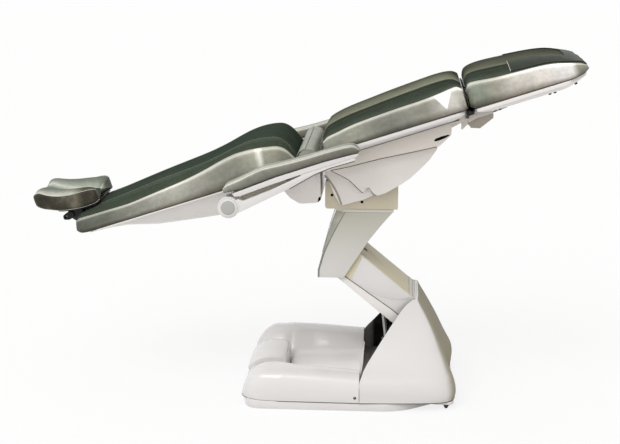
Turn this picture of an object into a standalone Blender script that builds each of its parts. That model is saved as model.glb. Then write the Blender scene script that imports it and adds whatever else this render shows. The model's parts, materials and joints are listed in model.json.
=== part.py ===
# Ear, nose and throat chair. Metres, +Z up, head end at -X, leg end at +X, near side at -Y.
# The chair top is drawn flat in its own frame (u towards the feet, y, w up) and leans on the tilt empty.
import math

import bmesh
import bpy
from mathutils import Matrix, Vector

for old in list(bpy.data.objects):
    bpy.data.objects.remove(old, do_unlink=True)

# Driving dimensions
GAP = 0.0003
WALL = 0.004
LEAN = math.radians(18.0)

PLINTH_TOP = 0.028
COVER_LOW = PLINTH_TOP + GAP
BASE_HALF = 0.300
SEAM_X = 0.045
POCKET_FLOOR = 0.055
FOOT_X = 0.3365
FOOT_Y = 0.248

ARM_ANGLE = math.radians(39.7)
LIFT_P = (0.2220, 0.2426)
LINK_LEN = 0.3570
TIE_OFF = (0.0127, 0.0484)
PIN_R = 0.008
TIE_PIN_R = 0.006
ARM_TOP = 0.0775
ARM_LOW = -0.0375
ARM_HALF = 0.110
PANEL_OUT = 0.1135
BEAM_HALF = 0.030
LUG_HALF = 0.012
CHEEK_IN = 0.035
CHEEK_OUT = 0.045
LIFT_LUG = (-0.1025, 0.0330)
RAM_LEAN = math.radians(6.5)
RAM_LEN = 0.2425
RAM_R = 0.020
RAM_SLEEVE = 0.1125
ROD_LEN = 0.120
ROD_R = 0.010
LUG_PIN_R = 0.005
SLOT_PLAY = 0.0010

ELBOW_E = (
    LIFT_P[0] - LINK_LEN * math.cos(ARM_ANGLE),
    LIFT_P[1] + LINK_LEN * math.sin(ARM_ANGLE),
)
ELBOW_HALF = 0.125
ELBOW_DROP = 0.0571
ELBOW_RISE = 0.17236
ELBOW_TOP = ELBOW_E[1] + ELBOW_RISE
SWIVEL_REACH = 0.102675
SWIVEL_X = ELBOW_E[0] + SWIVEL_REACH
SWIVEL_PLATE = 0.012
SWIVEL_PLATE_TOP = ELBOW_TOP + SWIVEL_PLATE
STUB_R = 0.030
STUB_RISE = 0.045
STUB_TOP = SWIVEL_PLATE_TOP + STUB_RISE

TILT_REACH = 0.025
TILT_RISE = 0.035
TILT_X = SWIVEL_X + TILT_REACH
TILT_Z = STUB_TOP + TILT_RISE
SHAFT_R = 0.015
BLOCK_HALF = 0.130
BLOCK_LOW = SWIVEL_PLATE_TOP + 2.0 * GAP
PLATE_IN = 0.138
PLATE_OUT = 0.146
FAN_IN = 0.150
FAN_OUT = 0.170

FRAME_LINE = [(-0.140, 0.1065), (-0.042, 0.0965), (0.060, 0.0920), (0.159, 0.0825), (0.256, 0.0742),
              (0.304, 0.0990)]
FRAME_TOP = 0.145
FRAME_HALF = 0.200
SEAT_TRAY_TOP = 0.1695
SEAT_HALF = 0.262
LEG_TRAY_LOW = 0.1360
LEG_TRAY_TOP = 0.1615
LEG_HALF = 0.242
BACK_TRAY_LOW = 0.1420
BACK_TRAY_TOP = 0.1490
BACK_HALF = 0.240

HINGE_B = (-0.165, 0.165)
HINGE_K = (0.370, 0.136)
HUB = (-0.440, 0.112)
HEAD_PIVOT = (-1.030, 0.195)
HINGE_PIN_R = 0.006
ARM_Y = 0.330
ARM_PIECE_HALF = 0.026
HUB_R = 0.0295
BAR_HALF = 0.025
BAR_LOW = 0.1515
BAR_TOP = 0.1850

parts = bpy.data.collections.new("parts")
cutters = bpy.data.collections.new("cutters")
bpy.context.scene.collection.children.link(parts)
bpy.context.scene.collection.children.link(cutters)
cutters.hide_render = True

LOOKS = {
    "white_shell": ((0.80, 0.78, 0.75, 1.0), 0.18, 0.0),
    "beige_shell": ((0.56, 0.53, 0.43, 1.0), 0.35, 0.0),
    "upholstery": ((0.06, 0.08, 0.06, 1.0), 0.42, 0.0),
    "steel": ((0.45, 0.45, 0.45, 1.0), 0.30, 1.0),
    "painted_frame": ((0.55, 0.53, 0.48, 1.0), 0.45, 0.0),
    "black_plastic": ((0.02, 0.02, 0.02, 1.0), 0.45, 0.0),
    "dark_frame": ((0.05, 0.05, 0.05, 1.0), 0.50, 0.3),
}
FRAMES = {}


def joint_frame(name, at, parent=None, lean=0.0, origin=None):
    empty = bpy.data.objects.new(name, None)
    empty.empty_display_size = 0.05
    parts.objects.link(empty)
    place = Vector(at)
    if parent:
        empty.parent = FRAMES[parent][0]
        empty.location = place - FRAMES[parent][1]
    else:
        empty.location = place
    empty.rotation_euler = (0.0, lean, 0.0)
    FRAMES[name] = (empty, place if origin is None else Vector(origin))


def weld(mesh, near=0.00001):
    bm = bmesh.new()
    bm.from_mesh(mesh)
    bmesh.ops.remove_doubles(bm, verts=bm.verts, dist=near)
    bmesh.ops.recalc_face_normals(bm, faces=bm.faces)
    bm.to_mesh(mesh)
    bm.free()


def add(name, mesh, frame, look, smooth=True):
    empty, origin = FRAMES[frame]
    mesh.name = name
    mesh.transform(Matrix.Translation(-origin))
    obj = bpy.data.objects.new(name, mesh)
    obj.parent = empty
    if look is None:
        cutters.objects.link(obj)
        obj.hide_render = True
        obj.display_type = "WIRE"
        return obj
    parts.objects.link(obj)
    color, rough, metal = LOOKS[look]
    mat = bpy.data.materials.new(look + "." + name)
    mat.use_nodes = True
    shader = mat.node_tree.nodes["Principled BSDF"]
    shader.inputs["Base Color"].default_value = color
    shader.inputs["Roughness"].default_value = rough
    shader.inputs["Metallic"].default_value = metal
    mesh.materials.append(mat)
    return obj


def tool(name, mesh, frame):
    return add(name + ".cut", mesh, frame, None)


def boolean(obj, other, how):
    mod = obj.modifiers.new(how.lower() + "." + other.name, "BOOLEAN")
    mod.operation = how
    mod.solver = "EXACT"
    mod.object = other


def bevel(obj, width, segments=2, angle=35.0):
    mod = obj.modifiers.new("edge", "BEVEL")
    mod.width = width
    mod.segments = segments
    mod.limit_method = "ANGLE"
    mod.angle_limit = math.radians(angle)
    mod.use_clamp_overlap = True


def subsurf(obj, levels):
    mod = obj.modifiers.new("round", "SUBSURF")
    mod.levels = levels
    mod.render_levels = levels


def outline(loops, low, high, axis="Y"):
    # A filled 2D curve with holes, extruded between low and high along the axis.
    curve = bpy.data.curves.new("outline", "CURVE")
    curve.dimensions = "2D"
    curve.fill_mode = "BOTH"
    curve.extrude = (high - low) / 2.0
    for loop in loops:
        spline = curve.splines.new("POLY")
        spline.points.add(len(loop) - 1)
        for point, (a, b) in zip(spline.points, loop):
            point.co = (a, b, 0.0, 1.0)
        spline.use_cyclic_u = True
    holder = bpy.data.objects.new("outline", curve)
    parts.objects.link(holder)
    graph = bpy.context.evaluated_depsgraph_get()
    mesh = bpy.data.meshes.new_from_object(holder.evaluated_get(graph))
    mesh.transform(holder.matrix_world)
    bpy.data.objects.remove(holder, do_unlink=True)
    bpy.data.curves.remove(curve)
    mid = (low + high) / 2.0
    if axis == "Y":
        mesh.transform(Matrix(((1, 0, 0, 0), (0, 0, -1, mid), (0, 1, 0, 0), (0, 0, 0, 1))))
    elif axis == "Z":
        mesh.transform(Matrix.Translation((0.0, 0.0, mid)))
    else:
        mesh.transform(Matrix(((0, 0, 1, mid), (1, 0, 0, 0), (0, 1, 0, 0), (0, 0, 0, 1))))
    weld(mesh)
    return mesh


def rod(radius, a, b, segments=18):
    # A round bar between two points.
    start = Vector(a)
    end = Vector(b)
    along = end - start
    mesh = bpy.data.meshes.new("rod")
    bm = bmesh.new()
    bmesh.ops.create_cone(
        bm, cap_ends=True, segments=segments, radius1=radius, radius2=radius, depth=along.length
    )
    bm.to_mesh(mesh)
    bm.free()
    turn = along.to_track_quat("Z", "Y").to_matrix().to_4x4()
    mesh.transform(Matrix.Translation((start + end) / 2.0) @ turn)
    return mesh


def block(x0, x1, y0, y1, z0, z1):
    mesh = bpy.data.meshes.new("block")
    bm = bmesh.new()
    bmesh.ops.create_cube(bm, size=1.0)
    bm.to_mesh(mesh)
    bm.free()
    mesh.transform(Matrix.Diagonal((x1 - x0, y1 - y0, z1 - z0, 1.0)))
    mesh.transform(Matrix.Translation(((x0 + x1) / 2.0, (y0 + y1) / 2.0, (z0 + z1) / 2.0)))
    return mesh


def loft(rings, closed=True):
    # Faces between unlike sections. Closed rings get end caps, open rows make a sheet.
    count = len(rings[0])
    verts = [point for ring in rings for point in ring]
    faces = []
    for i in range(len(rings) - 1):
        for j in range(count if closed else count - 1):
            k = (j + 1) % count
            faces.append((i * count + j, i * count + k, (i + 1) * count + k, (i + 1) * count + j))
    if closed:
        faces.append(tuple(range(count)))
        faces.append(tuple((len(rings) - 1) * count + j for j in range(count)))
    mesh = bpy.data.meshes.new("loft")
    mesh.from_pydata(verts, [], faces)
    weld(mesh)
    return mesh


def thick(line, wall):
    # An open section line and its parallel at one wall, as one closed ring.
    inner = []
    last = len(line) - 1
    for i, point in enumerate(line):
        one = Vector(line[i]) - Vector(line[i - 1]) if i > 0 else Vector(line[1]) - Vector(line[0])
        two = Vector(line[i + 1]) - Vector(line[i]) if i < last else one
        one = one.normalized()
        two = two.normalized()
        square = Vector((one.y + two.y, -one.x - two.x))
        share = max(square.length / 2.0, 0.6)
        step = square.normalized() * (wall / share)
        inner.append((point[0] + step.x, point[1] + step.y))
    return list(line) + inner[::-1]


def circle(centre, radius, count=16):
    steps = [2.0 * math.pi * i / count for i in range(count)]
    return [(centre[0] + radius * math.cos(t), centre[1] + radius * math.sin(t)) for t in steps]


def fillet(points, radius, steps=4):
    # Rounds each corner of a polygon. A point may carry its own radius as a third value.
    out = []
    count = len(points)
    for i in range(count):
        here = Vector(points[i][:2])
        before = Vector(points[i - 1][:2])
        after = Vector(points[(i + 1) % count][:2])
        size = points[i][2] if len(points[i]) > 2 else radius
        one = before - here
        two = after - here
        half = one.angle(two) / 2.0
        if size <= 0.0 or half > math.radians(88.0):
            out.append((here.x, here.y))
            continue
        reach = min(size / math.tan(half), 0.48 * one.length, 0.48 * two.length)
        start = here + one.normalized() * reach
        end = here + two.normalized() * reach
        for k in range(steps + 1):
            t = k / steps
            spot = start * (1 - t) ** 2 + here * (2 * t * (1 - t)) + end * t ** 2
            out.append((spot.x, spot.y))
    return out


def between(table, x):
    # Straight-line value from a table of (x, value).
    if x <= table[0][0]:
        return table[0][1]
    for (x0, v0), (x1, v1) in zip(table, table[1:]):
        if x <= x1:
            return v0 + (v1 - v0) * (x - x0) / (x1 - x0)
    return table[-1][1]


def along_arm(s, n):
    # A point of the lift arm: s from the elbow pivot towards the base, n square to it.
    c = math.cos(ARM_ANGLE)
    d = math.sin(ARM_ANGLE)
    return (ELBOW_E[0] + s * c + n * d, ELBOW_E[1] - s * d + n * c)


def shifted(point, step):
    return (point[0] + step[0], point[1] + step[1])


TIE_P = shifted(LIFT_P, TIE_OFF)
TIE_E = shifted(ELBOW_E, TIE_OFF)
LUG_C = shifted(LIFT_P, LIFT_LUG)
RAM_DIR = (-math.sin(RAM_LEAN), math.cos(RAM_LEAN))
RAM_A = (LUG_C[0] - RAM_LEN * RAM_DIR[0], LUG_C[1] - RAM_LEN * RAM_DIR[1])


def on_ram(length, side=0.0):
    return (
        RAM_A[0] + RAM_DIR[0] * length + RAM_DIR[1] * side,
        RAM_A[1] + RAM_DIR[1] * length - RAM_DIR[0] * side,
    )


joint_frame("base", (0.0, 0.0, 0.0))
joint_frame("lift_axis", (LIFT_P[0], 0.0, LIFT_P[1]), "base")
joint_frame("tie_axis", (TIE_P[0], 0.0, TIE_P[1]), "base")
joint_frame("ram_axis", (RAM_A[0], 0.0, RAM_A[1]), "base")
joint_frame("pedal_axis", (-0.222, 0.0, 0.0400), "base")
joint_frame("elbow_axis", (ELBOW_E[0], 0.0, ELBOW_E[1]), "lift_axis")
joint_frame("swivel_axis", (SWIVEL_X, 0.0, ELBOW_TOP), "elbow_axis")
joint_frame("tilt_axis", (TILT_X, 0.0, TILT_Z), "swivel_axis", -LEAN, (0.0, 0.0, 0.0))
joint_frame("back_axis", (HINGE_B[0], 0.0, HINGE_B[1]), "tilt_axis")
joint_frame("leg_axis", (HINGE_K[0], 0.0, HINGE_K[1]), "tilt_axis")
joint_frame("hub_axis", (HUB[0], 0.0, HUB[1]), "back_axis")
joint_frame("head_slide_axis", (-0.95, 0.0, 0.168), "back_axis")
joint_frame("head_tilt_axis", (HEAD_PIVOT[0], 0.0, HEAD_PIVOT[1]), "head_slide_axis")


def base_pieces():
    half = [
        (-0.353, 0.0), (-0.353, 0.20, 0.10), (-0.333, 0.297, 0.07), (0.18, 0.297, 0.20), (0.294, 0.209, 0.06),
        (0.335, 0.12, 0.05), (0.335, 0.0),
    ]
    far = [(p[0], -p[1]) + tuple(p[2:]) for p in reversed(half[1:-1])]
    plinth = add("base_plinth", outline([fillet(half + far, 0.0, 5)], 0.0, PLINTH_TOP, "Z"), "base",
                 "white_shell")
    lug = [(0.12, -0.20), (0.30, -0.262, 0.03), (0.362, -0.262, 0.02), (0.362, 0.262, 0.02),
           (0.30, 0.262, 0.03),
           (0.12, 0.20)]
    bar = tool("rear_bar", outline([fillet(lug, 0.0, 3)], 0.0165, PLINTH_TOP - 0.002, "Z"), "base")
    boolean(plinth, bar, "UNION")
    for side, y in (("near", -FOOT_Y), ("far", FOOT_Y)):
        mesh = bpy.data.meshes.new("foot")
        bm = bmesh.new()
        bmesh.ops.create_cone(
            bm, cap_ends=True, segments=20, radius1=0.004, radius2=0.0125, depth=0.0160
        )
        bm.to_mesh(mesh)
        bm.free()
        mesh.transform(Matrix.Translation((FOOT_X, y, 0.0081)))
        add("levelling_foot_" + side, mesh, "base", "black_plastic")

    # Front cover: two lobes round an open pocket.
    top = [(-0.357, 0.036), (-0.350, 0.062), (-0.338, 0.086), (-0.316, 0.112), (-0.288, 0.129),
           (-0.22, 0.134),
           (-0.10, 0.128), (0.045, 0.117)]
    wide = [(-0.357, 0.232), (-0.350, 0.252), (-0.338, 0.268), (-0.316, 0.283), (-0.288, 0.293),
            (-0.22, 0.299),
            (0.045, 0.300)]
    slim = [(-0.357, 0.190), (-0.350, 0.168), (-0.338, 0.150), (-0.316, 0.132), (-0.288, 0.118),
            (-0.245, 0.108),
            (-0.205, 0.128), (-0.15, 0.150), (0.045, 0.156)]
    floor = [(-0.357, 0.0345), (-0.338, 0.0350), (-0.288, 0.0355), (-0.232, 0.037), (-0.218, 0.040),
             (-0.205, 0.0545), (-0.15, POCKET_FLOOR), (0.045, POCKET_FLOOR + 0.004)]
    rows = []
    for x in (-0.357, -0.350, -0.338, -0.316, -0.288, -0.245, -0.218, -0.205, -0.15, -0.08, -0.01, SEAM_X):
        t = between(top, x)
        w = between(wide, x)
        a = between(slim, x)
        f = between(floor, x)
        rise = t - f
        low = COVER_LOW
        half = [
            (0.0, f), (0.5 * a, f), (0.84 * a, f), (a, f + 0.10 * rise),
            (a + 0.022 * (w - a) / 0.14, f + 0.50 * rise),
            (a + 0.30 * (w - a), f + 0.86 * rise), (a + 0.47 * (w - a), t),
            (a + 0.68 * (w - a), t - 0.02 * rise),
            (w - 0.014, t - 0.16 * (t - low)), (w - 0.003, t - 0.42 * (t - low)),
            (w, low + 0.22 * (t - low)), (w - 0.002, low),
        ]
        line = [(-y, z) for y, z in reversed(half[1:])] + half
        ring = thick(line, WALL)
        rows.append([(x, y, max(z, COVER_LOW)) for y, z in ring])
    add("base_front_cover", loft(rows), "base", "white_shell")

    # Rear cover: a tower flaring into the base, open along its front edge.
    front = [(COVER_LOW, SEAM_X + GAP), (0.100, SEAM_X + GAP), (0.133, 0.062), (0.316, 0.190), (0.341, 0.222)]
    side = [(COVER_LOW, 0.300), (0.070, 0.2995), (0.095, 0.293), (0.112, 0.276), (0.135, 0.246),
            (0.170, 0.214),
            (0.220, 0.180), (0.280, 0.148), (0.341, 0.125)]
    rear = [(COVER_LOW, 0.366), (0.055, 0.372), (0.090, 0.362), (0.122, 0.347), (0.214, 0.308),
            (0.284, 0.272),
            (0.341, 0.238)]
    corner = [(COVER_LOW, 0.262), (0.055, 0.268), (0.095, 0.250), (0.122, 0.228), (0.170, 0.190),
              (0.214, 0.168),
              (0.284, 0.136), (0.341, 0.118)]
    valley = [(COVER_LOW, 0.012), (0.060, 0.022), (0.122, 0.022), (0.200, 0.010), (0.260, 0.0), (0.341, 0.0)]
    rows = []
    for z in (COVER_LOW, 0.045, 0.070, 0.095, 0.112, 0.135, 0.170, 0.220, 0.280, 0.320, 0.341):
        f = between(front, z)
        s = between(side, z)
        r = between(rear, z)
        c = between(corner, z)
        v = between(valley, z)
        half = [
            (f, s), (f + 0.22 * (r - f), s + 0.1 * (c - s)), (f + 0.45 * (r - f), s + 0.22 * (c - s)),
            (f + 0.68 * (r - f), s + 0.40 * (c - s)), (f + 0.86 * (r - f), s + 0.70 * (c - s)),
            (f + 0.955 * (r - f), 0.97 * c), (r - 0.002, 0.85 * c), (r - 0.1 * v, 0.68 * c),
            (r - 0.6 * v, 0.45 * c),
            (r - 0.95 * v, 0.2 * c), (r - v, 0.0),
        ]
        line = [(x, -y) for x, y in half] + list(reversed(half[:-1]))
        rows.append([(x, y, z) for x, y in thick(line, -WALL)])
    add("base_rear_cover", loft(rows), "base", "white_shell")

    # Foot pedal hood at the head end.
    hood = [(-0.2165, 0.0424), (-0.2165, 0.1180, 0.012), (-0.240, 0.1290, 0.02), (-0.275, 0.1285, 0.03),
            (-0.322, 0.1150, 0.03), (-0.351, 0.0800, 0.012), (-0.346, 0.0690, 0.004), (-0.326, 0.0960, 0.02),
            (-0.300, 0.1080, 0.02), (-0.246, 0.1080, 0.02), (-0.232, 0.0960, 0.01), (-0.232, 0.0404)]
    pedal = add("foot_pedal", outline([fillet(hood, 0.0, 3)], -0.098, 0.098), "pedal_axis", "white_shell")
    bevel(pedal, 0.004, 1)


def lift_pieces():
    for name, spot, radius, frame in (
        ("lift_pin", LIFT_P, PIN_R, "lift_axis"),
        ("tie_pin_lower", TIE_P, TIE_PIN_R, "tie_axis"),
    ):
        reach = CHEEK_OUT + 0.004
        add(name, rod(radius, (spot[0], -reach, spot[1]), (spot[0], reach, spot[1])), frame, "steel")

    cheek = fillet(
        [(0.196, 0.034), (0.268, 0.034), (0.268, 0.12, 0.05), shifted(LIFT_P, (0.022, 0.0)) + (0.02,),
         shifted(TIE_P, (0.0125, -0.006)) + (0.008,), shifted(TIE_P, (0.010, 0.0125)) + (0.009,),
         shifted(TIE_P, (-0.0125, 0.0115)) + (0.009,), shifted(LIFT_P, (-0.020, 0.012)) + (0.015,),
         shifted(LIFT_P, (-0.020, -0.016)) + (0.015,)], 0.0, 3)
    holes = [circle(LIFT_P, PIN_R + GAP, 16), circle(TIE_P, TIE_PIN_R + GAP, 16)]
    frame = add("lift_frame", block(0.188, 0.280, -0.085, 0.085, PLINTH_TOP + GAP, 0.040), "base",
                "dark_frame")
    for sign, tag in ((-1, "near"), (1, "far")):
        ends = sorted((sign * CHEEK_IN, sign * CHEEK_OUT))
        boolean(frame, tool("cheek_" + tag, outline([cheek] + holes, *ends), "base"), "UNION")

    low = (PLINTH_TOP + 0.0106 - RAM_A[1]) / RAM_DIR[1]
    top = RAM_LEN - RAM_SLEEVE
    mesh = rod(RAM_R, (on_ram(low)[0], 0.0, on_ram(low)[1]), (on_ram(top)[0], 0.0, on_ram(top)[1]), 28)
    ram = add("lift_actuator_body", mesh, "ram_axis", "dark_frame")
    foot = tool("ram_foot", block(RAM_A[0] - 0.036, RAM_A[0] + 0.030, -0.03, 0.03, PLINTH_TOP + GAP, 0.052),
                "ram_axis")
    boolean(ram, foot, "UNION")
    start = on_ram(low + 0.008)
    end = on_ram(top + 0.030)
    bore = tool("ram_bore", rod(ROD_R + GAP, (start[0], 0.0, start[1]), (end[0], 0.0, end[1]), 24),
                "ram_axis")
    boolean(ram, bore, "DIFFERENCE")

    start = on_ram(RAM_LEN - 0.0105 - ROD_LEN)
    end = on_ram(RAM_LEN - 0.0105)
    stick = add("lift_actuator_rod", rod(ROD_R, (start[0], 0.0, start[1]), (end[0], 0.0, end[1]), 24),
                "ram_axis", "steel")
    head = fillet([on_ram(RAM_LEN - 0.012, -0.023), on_ram(RAM_LEN - 0.012, 0.013),
                   on_ram(RAM_LEN + 0.012, 0.013),
                   on_ram(RAM_LEN + 0.012, -0.023)], 0.006, 3)
    room = LUG_PIN_R + GAP
    over = RAM_LEN + LUG_PIN_R + SLOT_PLAY
    slot = fillet([on_ram(RAM_LEN - room, -0.0175), on_ram(RAM_LEN - room, 0.0080), on_ram(over, 0.0080),
                   on_ram(over, -0.0175)], room * 0.6, 3)
    boolean(stick, tool("rod_head", outline([head, slot], -LUG_HALF, LUG_HALF), "ram_axis"), "UNION")

    # Beam: box section, forked at the elbow, with a lug for the actuator.
    shape = fillet([along_arm(-0.018, -0.018), along_arm(LINK_LEN + 0.018, -0.018),
                    along_arm(LINK_LEN + 0.018, 0.018), along_arm(-0.018, 0.018)], 0.0175, 3)
    holes = [circle(LIFT_P, PIN_R + GAP, 16), circle(ELBOW_E, PIN_R + GAP, 16)]
    beam = add("lift_arm_beam", outline([shape] + holes, -BEAM_HALF, BEAM_HALF), "lift_axis", "dark_frame")
    s = (LUG_C[0] - ELBOW_E[0]) * math.cos(ARM_ANGLE) - (LUG_C[1] - ELBOW_E[1]) * math.sin(ARM_ANGLE)
    ear = fillet([along_arm(s - 0.024, -0.008), along_arm(s - 0.010, -0.0505), along_arm(s + 0.010, -0.0505),
                  along_arm(s + 0.024, -0.008)], 0.009, 3)
    for sign, tag in ((-1, "near"), (1, "far")):
        ends = sorted((sign * (LUG_HALF + 0.0005), sign * 0.021))
        hole = circle(LUG_C, LUG_PIN_R + GAP, 16)
        boolean(beam, tool("ram_ear_" + tag, outline([ear, hole], *ends), "lift_axis"), "UNION")
    fork = [along_arm(-0.03, -0.03), along_arm(0.048, -0.03), along_arm(0.048, 0.03), along_arm(-0.03, 0.03)]
    boolean(beam, tool("fork", outline([fork], -LUG_HALF - 0.0005, LUG_HALF + 0.0005), "lift_axis"),
            "DIFFERENCE")
    for at in (0.100, LINK_LEN - 0.145):
        rib = [along_arm(at, -0.0165), along_arm(at + 0.012, -0.0165), along_arm(at + 0.012, 0.0155),
               along_arm(at, 0.0155)]
        reach = ARM_HALF - WALL - GAP
        boolean(beam, tool("beam_rib_%d" % round(at * 1000), outline([rib], -reach, reach), "lift_axis"),
                "UNION")
    add("lift_lug_pin", rod(LUG_PIN_R, (LUG_C[0], -0.023, LUG_C[1]), (LUG_C[0], 0.023, LUG_C[1]), 20),
        "lift_axis", "steel")

    # Housing over the beam: top and side walls, notched for the elbow lug.
    shape = fillet([along_arm(0.012, ARM_LOW), along_arm(LINK_LEN - 0.027, ARM_LOW),
                    along_arm(LINK_LEN - 0.061, ARM_TOP),
                    along_arm(0.004, ARM_TOP)], 0.0)
    cover = add("lift_arm_cover", outline([shape], -ARM_HALF, ARM_HALF), "lift_axis", "beige_shell")
    past = LINK_LEN + 0.10
    inner = [along_arm(-0.10, ARM_LOW - 0.05), along_arm(past, ARM_LOW - 0.05),
             along_arm(past, ARM_TOP - WALL),
             along_arm(-0.10, ARM_TOP - WALL)]
    boolean(cover, tool("arm_room", outline([inner], WALL - ARM_HALF, ARM_HALF - WALL), "lift_axis"),
            "DIFFERENCE")
    notch = [along_arm(-0.05, 0.05), along_arm(0.082, 0.05), along_arm(0.082, 0.10), along_arm(-0.05, 0.10)]
    boolean(cover, tool("lug_notch", outline([notch], -0.0145, 0.0145), "lift_axis"), "DIFFERENCE")
    panel = fillet([along_arm(0.089, -0.0080) + (0.006,), along_arm(0.115, -0.0120) + (0.03,),
                    along_arm(0.150, -0.0065) + (0.06,),
                    along_arm(0.199, 0.0061) + (0.06,), along_arm(0.248, 0.0300) + (0.06,),
                    along_arm(0.278, 0.0610) + (0.03,),
                    along_arm(0.282, 0.0755) + (0.004,), along_arm(0.066, 0.0755) + (0.005,)], 0.0, 3)
    for sign, tag in ((-1, "near"), (1, "far")):
        ends = sorted((sign * (ARM_HALF + GAP), sign * PANEL_OUT))
        add("lift_arm_side_panel_" + tag, outline([panel], *ends), "lift_axis", "white_shell")
    end = LINK_LEN - 0.152
    tray = [along_arm(0.050, ARM_LOW), along_arm(end, ARM_LOW), along_arm(end, ARM_LOW + 0.0035),
            along_arm(0.050, ARM_LOW + 0.0035)]
    inside = ARM_HALF - WALL - GAP
    add("lift_arm_tray", outline([tray], -inside, inside), "lift_axis", "white_shell")

    # Tie link: two bars and a spacer, straddling the elbow lug.
    c = math.cos(ARM_ANGLE)
    d = math.sin(ARM_ANGLE)

    def on_tie(s, n):
        return (TIE_E[0] + s * c + n * d, TIE_E[1] - s * d + n * c)

    bar = fillet([on_tie(-0.011, -0.011), on_tie(LINK_LEN + 0.011, -0.011), on_tie(LINK_LEN + 0.011, 0.011),
                  on_tie(-0.011, 0.011)], 0.0108, 3)
    holes = [circle(TIE_E, TIE_PIN_R + GAP), circle(TIE_P, TIE_PIN_R + GAP)]
    tie = add("tie_link", outline([bar] + holes, -0.0185, 0.0185), "tie_axis", "steel")
    gap = [on_tie(-0.03, -0.03), on_tie(0.060, -0.03), on_tie(0.060, 0.03), on_tie(-0.03, 0.03)]
    boolean(tie, tool("tie_fork", outline([gap], -LUG_HALF - 0.0005, LUG_HALF + 0.0005), "tie_axis"),
            "DIFFERENCE")


def elbow_pieces():
    reach = BEAM_HALF + 0.002
    add("elbow_pin", rod(PIN_R, (ELBOW_E[0], -reach, ELBOW_E[1]), (ELBOW_E[0], reach, ELBOW_E[1])),
        "elbow_axis", "steel")
    add("tie_pin_upper", rod(TIE_PIN_R, (TIE_E[0], -0.021, TIE_E[1]), (TIE_E[0], 0.021, TIE_E[1]), 20),
        "elbow_axis", "steel")
    # Sections of the cover, measured from the elbow pivot.
    left = [(-ELBOW_DROP, -0.0518), (-0.0306, -0.0513), (0.0424, -0.0313), (0.1024, -0.0163),
            (ELBOW_RISE, 0.0097)]
    right = [(-ELBOW_DROP, 0.0370), (-0.0306, 0.0525), (0.0294, 0.0905), (0.0774, 0.1220), (0.1294, 0.1625),
             (ELBOW_RISE, 0.1985)]
    cut = [(-ELBOW_DROP, 0.004), (0.0294, 0.005), (ELBOW_RISE, 0.030)]
    rows = []
    for up in (-ELBOW_DROP, -0.0306, 0.0294, 0.0774, 0.1294, ELBOW_RISE - GAP):
        z = ELBOW_E[1] + up
        a = ELBOW_E[0] + between(left, up)
        b = ELBOW_E[0] + between(right, up)
        c = between(cut, up)
        half = [(b, ELBOW_HALF), (0.5 * (a + b), ELBOW_HALF), (a + c, ELBOW_HALF), (a, ELBOW_HALF - c),
                (a, 0.0)]
        line = [(x, -y) for x, y in half] + list(reversed(half[:-1]))
        rows.append([(x, y, z) for x, y in thick(line, WALL)])
    add("elbow_cover", loft(rows), "elbow_axis", "white_shell")

    lug = fillet([shifted(ELBOW_E, (-0.0165, -0.0165)) + (0.015,),
                  shifted(ELBOW_E, (0.0165, -0.0165)) + (0.015,),
                  shifted(ELBOW_E, (0.0185, 0.018)) + (0.01,), shifted(ELBOW_E, (0.0327, 0.0644)) + (0.02,),
                  shifted(ELBOW_E, (0.0727, 0.1294)) + (0.03,),
                  shifted(ELBOW_E, (0.1527, ELBOW_RISE - 0.009)),
                  shifted(ELBOW_E, (0.0227, ELBOW_RISE - 0.009)),
                  shifted(ELBOW_E, (0.0187, 0.1244)) + (0.02,),
                  shifted(ELBOW_E, (-0.0033, 0.0644)) + (0.02,)], 0.0, 3)
    holes = [circle(ELBOW_E, PIN_R + GAP, 16), circle(TIE_E, TIE_PIN_R + GAP)]
    bracket = add("elbow_bracket", outline([lug] + holes, -LUG_HALF, LUG_HALF), "elbow_axis", "dark_frame")
    room = ELBOW_HALF - WALL - 0.0015
    plate = block(ELBOW_E[0] + 0.0447, ELBOW_E[0] + 0.1827, -room, room, ELBOW_TOP - 0.013, ELBOW_TOP - GAP)
    boolean(bracket, tool("elbow_plate", plate, "elbow_axis"), "UNION")

    front = ELBOW_E[0] + 0.0067
    rear = ELBOW_E[0] + 0.2027
    flat = fillet([(front, -ELBOW_HALF + 0.028), (front + 0.028, -ELBOW_HALF), (rear, -ELBOW_HALF),
                   (rear, ELBOW_HALF),
                   (front + 0.028, ELBOW_HALF), (front, ELBOW_HALF - 0.028)], 0.004, 2)
    swivel = add("swivel_base_plate", outline([flat], ELBOW_TOP, SWIVEL_PLATE_TOP, "Z"), "elbow_axis",
                 "painted_frame")
    stub = rod(STUB_R, (SWIVEL_X, 0.0, ELBOW_TOP + SWIVEL_PLATE / 2.0), (SWIVEL_X, 0.0, STUB_TOP), 24)
    boolean(swivel, tool("stub", stub, "elbow_axis"), "UNION")


def swivel_pieces():
    centre = (TILT_X, TILT_Z)
    shape = fillet([(TILT_X - 0.155, BLOCK_LOW, 0.010), (TILT_X + 0.089, BLOCK_LOW, 0.004),
                    shifted(centre, (0.089, 0.035)) + (0.010,), shifted(centre, (0.045, 0.065)) + (0.02,),
                    shifted(centre, (-0.045, 0.057)) + (0.02,),
                    shifted(centre, (-0.155, 0.013)) + (0.010,)], 0.0, 3)
    hole = circle(centre, SHAFT_R + GAP, 20)
    body = add("seat_bracket", outline([shape, hole], -BLOCK_HALF, BLOCK_HALF), "swivel_axis", "beige_shell")
    well = rod(STUB_R + GAP, (SWIVEL_X, 0.0, BLOCK_LOW - 0.01), (SWIVEL_X, 0.0, STUB_TOP + 0.001), 24)
    boolean(body, tool("stub_well", well, "swivel_axis"), "DIFFERENCE")
    mesh = rod(SHAFT_R, (0.0, -PLATE_OUT - 0.003, 0.0), (0.0, PLATE_OUT + 0.003, 0.0), 20)
    add("tilt_shaft", mesh, "tilt_axis", "steel")


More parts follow.
